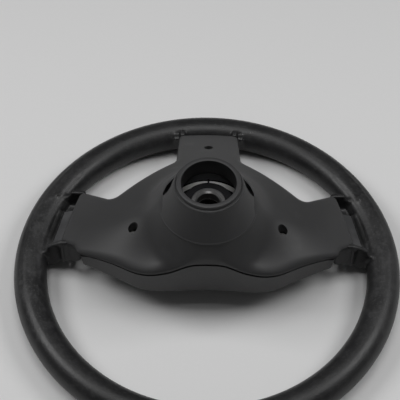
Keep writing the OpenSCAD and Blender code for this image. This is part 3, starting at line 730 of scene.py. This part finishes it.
class Finishes:
    """Every material of the wheel, by the record's slot."""

    def __init__(self) -> None:
        """Build all materials once."""
        turned_marks = (0.15, 0.15, 3.0)
        plans = {
            Slot.RIM_FOAM: GripFoam(
                "rim foam", (0.011, 0.011, 0.0115), (0.05, 0.05, 0.051), (0.2, 0.2, 0.2)),
            Slot.COVER_PLASTIC: Moulding(
                "cover plastic", (0.033, 0.033, 0.034), (0.047, 0.047, 0.048),
                gloss=0.48, paints_bore_shade=True),
            Slot.PAD_PLASTIC: Moulding(
                "pad plastic", (0.036, 0.036, 0.037), (0.048, 0.048, 0.049),
                gloss=0.47, grain=900.0, depth=0.00009),
            Slot.CARRIER_PLASTIC: Moulding(
                "carrier plastic", (0.008, 0.008, 0.009), (0.012, 0.012, 0.013),
                gloss=0.8, grain=1200.0, depth=0.00003, ior=1.3),
            Slot.BUSH_PLASTIC: Moulding(
                "bush plastic", (0.7, 0.69, 0.62), (0.8, 0.79, 0.74),
                gloss=0.4, depth=0.00002),
            Slot.INSULATOR_BOARD: Moulding(
                "insulator board", (0.25, 0.17, 0.1), (0.36, 0.26, 0.16),
                grain=700.0, depth=0.00003),
            Slot.LEAD_SLEEVE: Moulding(
                "lead sleeve", (0.16, 0.02, 0.015), (0.24, 0.03, 0.02),
                gloss=0.42, depth=0.00002),
            Slot.BLACK_STEEL: DippedSteel(
                "black dipped steel", (0.058, 0.059, 0.061), (0.1, 0.1, 0.103)),
            Slot.CORE_STEEL: Metal(
                "core steel", (0.42, 0.43, 0.44), (0.28, 0.26, 0.24), gloss=0.45),
            Slot.HUB_STEEL: Metal(
                "turned hub steel", (0.22, 0.22, 0.22), (0.14, 0.135, 0.13),
                gloss=0.42, stretch=turned_marks, depth=0.00002, dark_bore=0.0106),
            Slot.RING_METAL: Metal(
                "slip ring plating", (0.9, 0.9, 0.88), (0.72, 0.72, 0.7),
                gloss=0.5, marks=800.0, stretch=turned_marks, metallic=0.15),
            Slot.FASTENER_STEEL: Metal(
                "zinc fasteners", (0.46, 0.46, 0.45), (0.3, 0.3, 0.28), gloss=0.38),
            Slot.SPRING_STEEL: Metal(
                "spring wire", (0.5, 0.5, 0.51), (0.36, 0.35, 0.34), gloss=0.3),
            Slot.ZINC_STEEL: Metal(
                "zinc plate", (0.52, 0.53, 0.52), (0.38, 0.38, 0.36), gloss=0.42),
            Slot.CONTACT_BRASS: Metal(
                "contact brass", (0.62, 0.45, 0.2), (0.4, 0.27, 0.12), gloss=0.3),
        }
        self.made = {slot: plan.build() for slot, plan in plans.items()}

    def dress(self, piece: bpy.types.Object, slot: Slot) -> None:
        """Give a piece the material of a slot.

        Args:
            piece: A new piece or a CAD node.
            slot: The record's material slot.
        """
        piece.data.materials.clear()
        piece.data.materials.append(self.made[slot])


# Housing surfaces


def ease(t: float) -> float:
    """Smooth step from 0 to 1."""
    t = min(1.0, max(0.0, t))
    return t * t * (3 - 2 * t)


def mix(a: float, b: float, t: float) -> float:
    """Value at t between a and b."""
    return a + (b - a) * t


def bulge(r: float, middle: float, reach: float) -> float:
    """Bell curve that is 1 at its middle and fades within its reach."""
    return math.exp(-((r - middle) / reach) ** 2)


def rolled(steps: int) -> list[float]:
    """Angles of the steps round a quarter turn, without the first."""
    return [math.pi / 2 * step / steps for step in range(1, steps + 1)]


@dataclass
class Corner:
    """A rounded corner of the housing's outline, in millimetres."""

    x: float
    y: float
    rounding: float
    roll: float


@dataclass
class Edge:
    """One place on the outline, its outward direction and the width of its rolled edge."""

    place: Vector
    out: Vector
    roll: float


@dataclass
class Housing:
    """Outline and heights that the back cover and the horn pad share, in millimetres.

    The pad steps back round the near foam walls, and the cover reaches over them.
    """

    over_walls: bool = False
    hub_r: float = 40.0
    flare_low: float = 28.0
    flare_rise: float = 58.2
    flare_curl: float = 14.0
    flare_curl_reach: float = 12.0
    brim_low: float = 27.4
    brim_rise: float = 38.8
    brim_curl: float = 30.0
    brim_curl_reach: float = 9.0
    brim_dip: float = 2.0
    brim_dip_r: float = 64.0
    brim_dip_reach: float = 14.0
    brim_until: float = -0.65
    flare_within: float = 0.7
    near_y: float = -46.5
    notch_x: float = 121.0
    notch_y: float = 6.2
    spoke_half: float = 29.8
    spoke_end: float = 146.7
    wing_r: float = 137.0
    skirt: float = 5.0
    parting_top: float = 66.0
    parting_ease: float = 12.0
    parting_gap: float = 2.6
    pad_front: float = 11.0
    front_drop: float = 8.0
    front_drop_from: float = 112.0
    front_drop_within: float = 30.0
    bend_share: float = 0.95
    arc_step: float = 6.0
    line_step: float = 3.0

    def __post_init__(self) -> None:
        """Draw the outline and find the wings' mouths."""
        if self.over_walls:
            near = [Corner(121.2, -13.2, 5, 3.5), Corner(125.2, -4.4, 8, 3.5),
                    Corner(139.6, 6.6, 5, 3.5)]
        else:
            near = [Corner(120.3, -12.6, 7, 3.5), Corner(self.notch_x, self.notch_y, 3, 3.5),
                    Corner(140, self.notch_y, 7, 3.5)]
        self.corners = [
            Corner(60, self.near_y, 60, 7), *near,
            Corner(125.1, 67.3, 4, 4), Corner(90.3, 37.2, 10, 5), Corner(31.3, 79.6, 12, 5),
            Corner(self.spoke_half, self.spoke_end, 5, 4)]
        half, middles = self._half_outline()
        self.half_count = len(half) - 1
        self.mouth = (middles[2], middles[5])
        self.outline = half + [
            Edge(Vector((-e.place.x, e.place.y)), Vector((-e.out.x, e.out.y)), e.roll)
            for e in reversed(half[1:-1])]

    def _half_outline(self) -> tuple[list[Edge], list[int]]:
        """Draw the right half from the near edge to the end of the third spoke.

        Returns:
            The outline's places and the number of the middle place of each corner.
        """
        start = Corner(0, self.near_y, 0, 4.5)
        end = Corner(0, self.spoke_end, 0, 4)
        line = [Edge(Vector((start.x, start.y)), Vector((0, -1)), start.roll)]
        middles = []
        stops = [start, *self.corners, end]
        for before, corner, after in zip(stops, stops[1:], stops[2:]):
            arc = self._arc(before, corner, after)
            line += self._straight(line[-1], arc[0])
            middles.append(len(line) + len(arc) // 2)
            line += arc
        last = Edge(Vector((end.x, end.y)), Vector((0, 1)), end.roll)
        line += self._straight(line[-1], last)
        line.append(last)
        return line, middles

    def _arc(self, before: Corner, corner: Corner, after: Corner) -> list[Edge]:
        """Walk round one corner.

        Args:
            before: The corner that the outline comes from.
            corner: The corner itself.
            after: The corner that the outline goes to.

        Returns:
            The places on its arc.
        """
        here = Vector((corner.x, corner.y))
        d1 = (here - Vector((before.x, before.y))).normalized()
        d2 = (Vector((after.x, after.y)) - here).normalized()
        angle = math.atan2(d1.x * d2.y - d1.y * d2.x, d1.dot(d2))
        side = math.copysign(1.0, angle)
        start = here - d1 * corner.rounding * math.tan(abs(angle) / 2)
        centre = start - Vector((d1.y, -d1.x)) * side * corner.rounding
        steps = 2 * math.ceil(abs(math.degrees(angle)) / (2 * self.arc_step))
        places = []
        for j in range(steps + 1):
            a = angle * j / steps
            d = Vector((d1.x * math.cos(a) - d1.y * math.sin(a),
                        d1.x * math.sin(a) + d1.y * math.cos(a)))
            out = Vector((d.y, -d.x))
            places.append(Edge(centre + out * side * corner.rounding, out, corner.roll))
        return places

    def _straight(self, a: Edge, b: Edge) -> list[Edge]:
        """Walk from the end of one arc to the start of the next.

        Args:
            a: Last place of the first arc.
            b: First place of the next arc.

        Returns:
            The places between the two.
        """
        gap = b.place - a.place
        steps = max(1, round(gap.length / self.line_step))
        places = []
        for j in range(1, steps):
            t = j / steps
            places.append(Edge(a.place + gap * t, a.out.lerp(b.out, t).normalized(),
                               mix(a.roll, b.roll, t)))
        return places

    def cover_z(self, p: Vector) -> float:
        """Height of the cover's top surface: a flare on the far side, a brim on the near side.

        Args:
            p: The place in plan.

        Returns:
            The height.
        """
        r = p.length
        inward = (self.wing_r - r) / (self.wing_r - self.hub_r)
        flare = (self.flare_low + self.flare_rise * inward
                 + self.flare_curl * bulge(r, self.hub_r, self.flare_curl_reach))
        brim = (self.brim_low + self.brim_rise * inward
                + self.brim_curl * bulge(r, self.hub_r, self.brim_curl_reach)
                - self.brim_dip * bulge(r, self.brim_dip_r, self.brim_dip_reach))
        return mix(brim, flare, ease((p.y / r - self.brim_until) / self.flare_within))

    def parting_z(self, edge: Edge) -> float:
        """Height of the parting line, eased where it levels off.

        Args:
            edge: The place of the outline.

        Returns:
            The height.
        """
        z = self.cover_z(edge.place) - self.skirt
        near = max(0.0, 1 - abs(z - self.parting_top) / self.parting_ease)
        return min(z, self.parting_top) - near ** 2 * self.parting_ease / 4

    def front_z(self, p: Vector) -> float:
        """Height of the pad's front face, which drops towards the ends of wings and spoke.

        Args:
            p: The place in plan.

        Returns:
            The height.
        """
        outward = (p.length - self.front_drop_from) / self.front_drop_within
        return self.pad_front - self.front_drop * ease(outward)

    def rib(self, places: list[Vector], i: int, r0: float, t: float) -> Vector:
        """Place at t on the rib of one outline place, t = 0 at radius r0 and 1 at the edge.

        A rib runs straight out to its bend, and from there on to its end. The bends of the
        ribs that go into a wing lie on the line across the wing's mouth.

        Args:
            places: Ends of all the ribs.
            i: Number of the rib.
            r0: Radius that the ribs start at.
            t: Share of the way out.

        Returns:
            The place in plan.
        """
        bend_t = self.bend_share

        def foot(k: int) -> Vector:
            """Bend of a rib that runs straight out to its end."""
            return places[k].normalized().lerp(places[k] / r0, bend_t) * r0

        n = len(places)
        k = i if i <= self.half_count else n - i
        low, high = self.mouth
        u = 2 * (k - low) / (high - low) - 1
        if abs(u) < 1:
            even, crowded = 0.3 * abs(u), 0.7 * abs(u) ** 2.5
            f = 0.5 + math.copysign(even + crowded, u) / 2
            ends = (low, high) if i <= self.half_count else (n - low, n - high)
            bend = foot(ends[0]).lerp(foot(ends[1]), f)
        else:
            bend = foot(i)
        if t > bend_t:
            return bend.lerp(places[i], (t - bend_t) / (1 - bend_t))
        return (bend.normalized() * r0).lerp(bend, t / bend_t)

    def skin(self, name: str, rings: list[list[Place]], up: bool) -> bpy.types.Object:
        """Lay a grid over rings of places and close it round.

        Args:
            name: Name of the piece.
            rings: Rings of places in millimetres above the rim's middle plane.
            up: Whether the skin's outer side looks up.

        Returns:
            The open skin.
        """
        count = len(rings[0])
        deselect()
        bpy.ops.mesh.primitive_grid_add(x_subdivisions=count, y_subdivisions=len(rings) - 1,
                                        size=2)
        piece = bpy.context.object
        piece.name = piece.data.name = name
        for vertex in piece.data.vertices:
            i = round((vertex.co.x + 1) / 2 * count) % count
            j = round((vertex.co.y + 1) / 2 * (len(rings) - 1))
            x, y, z = rings[j][i]
            vertex.co = (x * MM, y * MM, (z + RIM_PLANE) * MM)
        weld(piece)
        total = sum(face.normal.z * face.area for face in piece.data.polygons)
        if (total > 0) != up:
            edit_all(piece, bpy.ops.mesh.flip_normals)
        return piece


# Pieces


@dataclass
class BackCover:
    """The moulded cover with its hub flare, rolled edge, collar and screw recesses."""

    housing: Housing
    finishes: Finishes
    wall: float = 2.5
    loft_r: float = 38.5
    face_steps: int = 20
    bend_steps: int = 7
    roll_steps: int = 8
    roll_fall: float = 0.6
    recess_r: float = 4.5
    post_wall: float = 2.0
    seat_wall: float = 2.0
    screw_r: float = 2.3
    side_screw_r: float = 68.7
    side_screw_angle: float = 6.2
    side_seat_z: float = 52.0
    far_screw_r: float = 109.0
    far_seat_z: float = 32.5
    collar_r: float = 24.2
    cone_r: float = 44.3
    cone_base: float = 92.2
    collar_steps: int = 160
    collar_bevel: float = 0.25
    slot_r: float = 37.0
    slot_angle: float = 16.0
    slot_twist: float = 4.0
    slot_len: float = 15.5
    slot_w: float = 8.2

    def screw_places(self) -> list[tuple[Point, float]]:
        """Find the three cover screws.

        Returns:
            Plan place and seat height of each.
        """
        a = math.radians(self.side_screw_angle)
        x, y = self.side_screw_r * math.cos(a), -self.side_screw_r * math.sin(a)
        return [((x, y), self.side_seat_z), ((-x, y), self.side_seat_z),
                ((0.0, self.far_screw_r), self.far_seat_z)]

    def surface_rings(self) -> list[list[Place]]:
        """Rings of the outer surface from the hub out to the parting line.

        Returns:
            The rings, in millimetres above the rim's middle plane.
        """
        home = self.housing
        ends = [e.place - e.out * e.roll for e in home.outline]
        ways = [k / self.face_steps for k in range(self.face_steps + 1)]
        shares = [home.bend_share * mix(way, ease(way), 0.2) for way in ways]
        shares += [mix(home.bend_share, 1.0, k / self.bend_steps)
                   for k in range(1, self.bend_steps + 1)]
        rings = []
        for t in shares:
            ring = []
            for i in range(len(ends)):
                p = home.rib(ends, i, self.loft_r, t)
                ring.append((p.x, p.y, home.cover_z(p)))
            rings.append(ring)
        for a in rolled(self.roll_steps):
            ring = []
            for e in home.outline:
                p = e.place - e.out * e.roll * (1 - math.sin(a))
                height = home.cover_z(e.place) - home.parting_z(e)
                drop = height * self.roll_fall * (1 - math.cos(a))
                ring.append((p.x, p.y, home.cover_z(p) - drop))
            rings.append(ring)
        rings.append([(e.place.x, e.place.y, home.parting_z(e)) for e in home.outline])
        return rings

    def collar(self) -> bpy.types.Object:
        """Turn the collar: mouth, raised ring, groove, shoulder and cone.

        Returns:
            The collar.
        """
        r, foot, base = self.collar_r, self.cone_r, self.cone_base
        profile = [
            (r, 107.5), (r, 124.3), (r + 0.25, 124.95), (r + 0.9, 125.2), (r + 3.6, 125.2),
            (r + 4.1, 125.0), (r + 4.25, 124.6), (r + 4.15, 121.2), (r + 4.3, 120.9),
            (29.2, 120.9), (29.5, 121.5), (30.3, 121.4), (30.9, 120.6), (31.0, 119.2),
            (31.6, 117.2), (37.2, 106.2),
            (foot - 1.0, base + 2.2), (foot - 0.5, base + 1.5), (foot, base + 1.2),
            (foot, base), (foot - 3.0, base), (27.6, 111.5), (26.4, 107.5)]
        piece = turned("collar", profile, self.collar_steps)
        finish_modifier(piece, "BEVEL", {"width": self.collar_bevel * MM, "segments": 2,
                                         "limit_method": "ANGLE",
                                         "angle_limit": math.radians(28)})
        cut(piece, self.slot_cutter())
        return piece

    def slot_cutter(self) -> bpy.types.Object:
        """Cutter of the two upright slots through the flanks of the cone's foot.

        Returns:
            The cutter.
        """
        cutters = []
        low, high = self.cone_base - 20, self.cone_base + 35
        half = (self.slot_len - self.slot_w) / 2
        for side in (1, -1):
            piece = rod("slot", self.slot_w / 2, low, high, (0, 0))
            for vertex in piece.data.vertices:
                vertex.co.y += math.copysign(half * MM, vertex.co.y + 1e-7)
            turn = (Matrix.Rotation(math.radians(self.slot_angle), 4, "Z")
                    @ Matrix.Translation((self.slot_r * MM, 0, 0))
                    @ Matrix.Rotation(math.radians(self.slot_twist), 4, "Z"))
            if side < 0:
                turn = Matrix.Scale(-1, 4, (1, 0, 0)) @ turn
            piece.data.transform(turn)
            face_out(piece)
            cutters.append(piece)
        return joined(cutters, "slot cutter")

    def post(self, place: Point, seat: float) -> bpy.types.Object:
        """Post round a recess, with its top inside the cover's wall all round.

        Args:
            place: Its place in plan.
            seat: Height of the seat that it stands on.

        Returns:
            The post.
        """
        piece = rod("post", self.recess_r + self.post_wall, seat + 0.1, ABOVE_ALL, place)
        for vertex in piece.data.vertices:
            if vertex.co.z > (seat + 1 + RIM_PLANE) * MM:
                top = self.housing.cover_z(vertex.co.xy / MM) - self.wall / 2
                vertex.co.z = (top + RIM_PLANE) * MM
        return piece

    def build(self) -> None:
        """Build and dress the cover."""
        home = self.housing
        shell = home.skin("back_cover_shell", self.surface_rings(), True)
        finish_modifier(shell, "SOLIDIFY", {"thickness": self.wall * MM, "offset": -1.0,
                                            "use_even_offset": False})
        face_out(shell)
        cut(shell, joined([self.post(place, seat) for place, seat in self.screw_places()],
                          "posts"), Cut.UNITE)
        holes = []
        for place, seat in self.screw_places():
            holes.append(rod("recess", self.recess_r, seat + self.seat_wall, ABOVE_ALL, place))
            holes.append(rod("shank hole", self.screw_r, seat - 10, ABOVE_ALL + 1, place))
        for hole in holes:
            cut(shell, hole)
        cut(shell, self.slot_cutter())
        smooth(shell)
        collar = self.collar()
        smooth(collar)
        for piece in (shell, collar):
            self.finishes.dress(piece, Slot.COVER_PLASTIC)
            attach(piece, Body.WHEEL.value)
            log.info("%s: %d faces", piece.name, len(piece.data.polygons))
        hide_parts("back_cover")


@dataclass
class HornPad:
    """The horn pad on the driver's side."""

    housing: Housing
    finishes: Finishes
    wall: float = 2.6
    draft: float = 7.5
    fillet_r: float = 4.0
    centre_r: float = 10.0
    face_steps: int = 16
    bend_steps: int = 6
    roll_steps: int = 8
    frame_foot: float = 42.0
    post_r: float = 5.0
    post_x: float = 30.0
    post_near_y: float = -26.0
    post_far_y: float = 30.0
    post_sink: float = 0.5
    step: float = 2.2
    step_x: float = 110.0
    step_x_within: float = 8.0
    step_y: float = 22.0
    step_y_within: float = 6.0
    arm_angle: float = 12.0
    side_way_r: float = 130.0
    side_way_foot: float = 8.5
    side_way_near: float = 16.5
    side_way_far: float = 23.5
    far_way_foot: float = 6.6
    far_way_half: float = 20.5
    far_way_lap: float = 1.5
    way_depth: float = 30.0
    way_height: float = 40.0

    def fillet(self, edge: Edge) -> float:
        """Radius of the front edge."""
        return max(self.fillet_r, edge.roll)

    def top_z(self, edge: Edge) -> float:
        """Height of the pad's upper edge, lower where the pad steps back from the cover.

        Args:
            edge: The place of the outline.

        Returns:
            The height.
        """
        x, y = abs(edge.place.x), edge.place.y
        step = (ease((x - self.step_x) / self.step_x_within)
                * ease((self.step_y - y) / self.step_y_within))
        return self.housing.parting_z(edge) - self.housing.parting_gap - self.step * step

    def side(self, edge: Edge, z: float) -> Vector:
        """Place on the drafted side wall at a height.

        Args:
            edge: The place of the outline.
            z: The height.

        Returns:
            The place in plan.
        """
        top = self.housing.parting_z(edge) - self.housing.parting_gap
        return edge.place - edge.out * (top - z) * math.tan(math.radians(self.draft))

    def surface_rings(self) -> list[list[Place]]:
        """Rings of the outer surface from the parting line to the middle of the front.

        Returns:
            The rings, in millimetres above the rim's middle plane.
        """
        home = self.housing
        rings = []
        for share in (0.0, 0.35, 0.7, 1.0):
            ring = []
            for e in home.outline:
                z = mix(self.top_z(e), home.front_z(e.place) + self.fillet(e), share)
                p = self.side(e, z)
                ring.append((p.x, p.y, z))
            rings.append(ring)
        for a in rolled(self.roll_steps):
            ring = []
            ends = []
            for e in home.outline:
                f = self.fillet(e)
                base = home.front_z(e.place) + f
                p = self.side(e, base) - e.out * f * (1 - math.cos(a))
                ring.append((p.x, p.y, base - f * math.sin(a)))
                ends.append(p)
            rings.append(ring)
        shares = [mix(1.0, home.bend_share, k / self.bend_steps)
                  for k in range(1, self.bend_steps + 1)]
        shares += [home.bend_share * (1 - k / self.face_steps)
                   for k in range(1, self.face_steps + 1)]
        for share in shares:
            ring = []
            for i in range(len(ends)):
                p = home.rib(ends, i, self.centre_r, share)
                ring.append((p.x, p.y, home.front_z(p)))
            rings.append(ring)
        return rings

    def build(self) -> None:
        """Build and dress the pad."""
        home = self.housing
        shell = home.skin("horn_pad_shell", self.surface_rings(), False)
        take(shell)
        bpy.ops.object.mode_set(mode="EDIT")
        bpy.ops.mesh.select_mode(type="VERT")
        bpy.ops.mesh.select_all(action="DESELECT")
        bpy.ops.object.mode_set(mode="OBJECT")
        limit = (self.centre_r + 0.2) * MM
        for vertex in shell.data.vertices:
            vertex.select = vertex.co.xy.length < limit
        bpy.ops.object.mode_set(mode="EDIT")
        bpy.ops.mesh.edge_face_add()
        bpy.ops.object.mode_set(mode="OBJECT")
        finish_modifier(shell, "SOLIDIFY", {"thickness": self.wall * MM, "offset": -1.0,
                                            "use_even_offset": False})
        face_out(shell)
        foot = home.pad_front + self.wall - self.post_sink
        posts = [rod("post", self.post_r, foot, self.frame_foot, (x, y))
                 for y in (self.post_near_y, self.post_far_y)
                 for x in (self.post_x, -self.post_x)]
        # Known fault: with the edge lowered by step, the solid shell has a face without area
        # near the middle of the front, and Blender refuses both of these. The pad has no posts
        # then, and the arms pass through its wall. With step at 0 both of them work.
        cut(shell, joined(posts, "posts"), Cut.UNITE)
        cut(shell, self.ways_out())
        smooth(shell)
        self.finishes.dress(shell, Slot.PAD_PLASTIC)
        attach(shell, Body.PAD.value)
        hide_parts("horn_pad")
        log.info("%s: %d faces", shell.name, len(shell.data.polygons))

    def ways_out(self) -> bpy.types.Object:
        """Cutter of the openings that the three arms leave the housing by.

        Returns:
            The cutter.
        """
        blocks = []
        near, out = self.side_way_near, self.side_way_far
        half = self.far_way_half
        side = (self.side_way_r, self.side_way_foot)
        far = (self.housing.spoke_end - self.wall - self.far_way_lap, self.far_way_foot)
        for angle, low, high, (start, foot) in (
                (self.arm_angle, -near, out, side), (180 - self.arm_angle, -out, near, side),
                (90, -half, half, far)):
            deselect()
            bpy.ops.mesh.primitive_cube_add(size=1)
            block = bpy.context.object
            size = Matrix.Diagonal((self.way_depth * MM, (high - low) * MM,
                                    self.way_height * MM, 1))
            place = Matrix.Translation(((start + self.way_depth / 2) * MM,
                                        (low + high) / 2 * MM,
                                        (foot + self.way_height / 2 + RIM_PLANE) * MM))
            block.data.transform(
                Matrix.Rotation(math.radians(angle), 4, "Z") @ place @ size)
            blocks.append(block)
        return joined(blocks, "ways out")


@dataclass
class RimGrip:
    """The foam grip, with its walls round the spoke ends melted softly into the ring."""

    finishes: Finishes
    voxel: float = 1.3
    passes: int = 8
    melt: float = 0.5
    arm_angle: float = 12.0
    tongue_from: float = 148.6
    tongue_to: float = 160.0
    tongue_half: float = 24.0
    tongue_top: float = 11.6
    tongue_end_top: float = 4.6
    tongue_foot: float = 3.0
    tongue_root: float = -6.0
    ear_near: float = 30.4
    ear_far: float = 40.0
    ear_from: float = 138.0
    ear_top: float = 40.0
    ear_steps: tuple[Point, ...] = ((149.5, -9.0), (153.5, 11.0), (157.0, 14.0))
    nub_near: float = 24.6
    nub_far: float = 29.6
    nub_from: float = 148.2
    nub_to: float = 157.0
    nub_top: float = 19.0

    def block(self, low: Place, high: Place) -> bpy.types.Object:
        """Add a block, used as a cutter or to be shaped further.

        Args:
            low: Its lowest corner in millimetres, above the rim's middle plane.
            high: Its highest corner.

        Returns:
            The block.
        """
        deselect()
        bpy.ops.mesh.primitive_cube_add(size=1)
        piece = bpy.context.object
        size = [(b - a) * MM for a, b in zip(low, high)]
        middle = [(a + b) / 2 * MM for a, b in zip(low, high)]
        middle[2] += RIM_PLANE * MM
        piece.data.transform(Matrix.Translation(middle) @ Matrix.Diagonal((*size, 1)))
        return piece

    def tongue(self, side: int) -> bpy.types.Object:
        """Foam that runs over the sloping end of a side arm.

        Args:
            side: 1 for the right arm, -1 for the left one.

        Returns:
            The tongue.
        """
        start = self.tongue_from
        piece = self.block((start, -self.tongue_half, self.tongue_root),
                           (self.tongue_to, self.tongue_half, self.tongue_top))
        for vertex in piece.data.vertices:
            inner = vertex.co.x < (start + 1) * MM
            if vertex.co.z > RIM_PLANE * MM:
                top = self.tongue_top if inner else self.tongue_end_top
                vertex.co.z = (top + RIM_PLANE) * MM
            elif inner:
                vertex.co.z = (self.tongue_foot + RIM_PLANE) * MM
        piece.data.transform(Matrix.Rotation(math.radians(self.arm_angle), 4, "Z"))
        if side < 0:
            piece.data.transform(Matrix.Scale(-1, 4, (1, 0, 0)))
            face_out(piece)
        return piece

    def build(self) -> None:
        """Build and dress the grip."""
        grip = merged_copy("rim_grip", "rim_grip_skin")
        for side in (1, -1):
            cut(grip, self.tongue(side), Cut.UNITE)
            near, far = sorted((side * self.ear_near, side * self.ear_far))
            for end, foot in self.ear_steps:
                cut(grip, self.block((near, self.ear_from, foot), (far, end, self.ear_top)))
            near, far = sorted((side * self.nub_near, side * self.nub_far))
            cut(grip, self.block((near, self.nub_from, 0), (far, self.nub_to, self.nub_top)),
                Cut.UNITE)
        finish_modifier(grip, "REMESH", {"mode": "VOXEL", "voxel_size": self.voxel * MM})
        finish_modifier(grip, "SMOOTH", {"factor": self.melt, "iterations": self.passes})
        smooth(grip, 60)
        self.finishes.dress(grip, Slot.RIM_FOAM)
        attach(grip, Body.WHEEL.value)
        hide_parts("rim_grip")
        log.info("%s: %d faces", grip.name, len(grip.data.polygons))


@dataclass
class HornSprings:
    """The four coil springs."""

    finishes: Finishes
    stroke: float = 1.5

    def build(self) -> None:
        """Copy the coils, dress them and give them a mesh of their own."""
        coils = merged_copy("horn_springs", "horn_spring_coils")
        smooth(coils, 60)
        self.finishes.dress(coils, Slot.SPRING_STEEL)
        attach(coils, Body.WHEEL.value)
        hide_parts("horn_springs")
        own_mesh(coils)
        log.info("%s: %d faces", coils.name, len(coils.data.polygons))


@dataclass
class CarriedNodes:
    """The CAD nodes that keep their own shape and get a real finish."""

    finishes: Finishes

    def dress(self) -> None:
        """Dress every CAD node from the record's slots."""
        for row in frame["record"]["subparts"]:
            node = frame["nodes"].get(row["node"])
            if node is not None:
                self.finishes.dress(node, Slot(row["material_slot"]))
                log.info("%s: %s", row["node"], row["material_slot"])


@dataclass
class Studio:
    """Floor, lamps, world and the camera that was fitted to the photo."""

    focal: float = 95.94
    sensor: float = 36.0
    target: Place = (0.0, 0.02, 0.04)
    glow: float = 0.07
    eye: Place = (-0.00482, -0.58559, 0.86266)
    yaw: float = -0.0045287
    pitch: float = 0.906315
    roll: float = 0.0107984

    def camera(self) -> None:
        """Place the camera."""
        cy, sy = math.cos(self.yaw), math.sin(self.yaw)
        cp, sp = math.cos(self.pitch), math.sin(self.pitch)
        ahead = Vector((sy * cp, cy * cp, -sp))
        right = Vector((cy, -sy, 0))
        up = right.cross(ahead)
        cr, sr = math.cos(self.roll), math.sin(self.roll)
        side, top = right * cr + up * sr, up * cr - right * sr
        data = bpy.data.cameras.new("photo camera")
        data.lens = self.focal
        data.sensor_width = self.sensor
        data.sensor_fit = "HORIZONTAL"
        data.clip_start, data.clip_end = 0.01, 20.0
        camera = bpy.data.objects.new("photo camera", data)
        bpy.context.scene.collection.objects.link(camera)
        turn = Matrix((side, top, -ahead)).transposed().to_4x4()
        camera.matrix_world = Matrix.Translation(self.eye) @ turn
        bpy.context.scene.camera = camera

    def hang(self, name: str, data: bpy.types.Light, place: Place, aim: Place) -> None:
        """Hang a lamp in the studio and turn it at a point.

        Args:
            name: Name of the lamp.
            data: The lamp itself.
            place: Its place in metres.
            aim: The point that it looks at.
        """
        lamp = bpy.data.objects.new(name, data)
        bpy.context.scene.collection.objects.link(lamp)
        ahead = Vector(aim) - Vector(place)
        lamp.matrix_world = (Matrix.Translation(place)
                             @ ahead.to_track_quat("-Z", "Y").to_matrix().to_4x4())

    def lamp(self, name: str, place: Place, size: float, power: float) -> None:
        """Hang a square soft lamp that looks at the wheel.

        Args:
            name: Name of the lamp.
            place: Its place in metres.
            size: Its side in metres.
            power: Its power in watts.
        """
        data = bpy.data.lights.new(name, "AREA")
        data.size = size
        data.energy = power
        self.hang(name, data, place, self.target)

    def pin(self, place: Place, aim: Place, angle: float, power: float) -> None:
        """Hang a narrow lamp that shines down into the collar.

        Args:
            place: Its place in metres.
            aim: The point that it shines at.
            angle: Full angle of its beam in degrees.
            power: Its power in watts.
        """
        data = bpy.data.lights.new("pin light", "SPOT")
        data.energy = power
        data.spot_size = math.radians(angle)
        data.spot_blend = 0.4
        data.shadow_soft_size = 0.01
        self.hang("pin light", data, place, aim)

    def build(self) -> None:
        """Set up the whole studio."""
        self.camera()
        deselect()
        bpy.ops.mesh.primitive_plane_add(size=8, location=(0, 1.5, -0.0004))
        floor = bpy.context.object
        floor.name = "floor"
        settle(floor)
        paper = Backdrop("pale paper", (0.8, 0.8, 0.8), (0.1, 0.1, 0.1))
        floor.data.materials.append(paper.build())
        world = bpy.data.worlds.new("studio")
        world.use_nodes = True
        back = world.node_tree.nodes["Background"]
        back.inputs["Color"].default_value = (1.0, 1.0, 1.0, 1.0)
        back.inputs["Strength"].default_value = self.glow
        bpy.context.scene.world = world
        self.lamp("overhead", (0.0, 0.05, 1.6), 0.8, 6.4)
        self.lamp("left fill", (-1.0, 0.15, 1.2), 0.6, 7.4)
        self.lamp("right fill", (1.0, 0.15, 1.2), 0.6, 6.6)
        self.pin((0.0, -0.8, 1.13), (0.0, -0.006, 0.141), 2.0, 16.0)
        bpy.context.scene.view_settings.view_transform = "Standard"


def main() -> None:
    """Build the wheel's looks in order."""
    finishes = Finishes()
    Studio().build()
    CarriedNodes(finishes).dress()
    RimGrip(finishes).build()
    BackCover(Housing(over_walls=True), finishes).build()
    HornPad(Housing(), finishes).build()
    HornSprings(finishes).build()


if __name__ == "__main__":
    main()
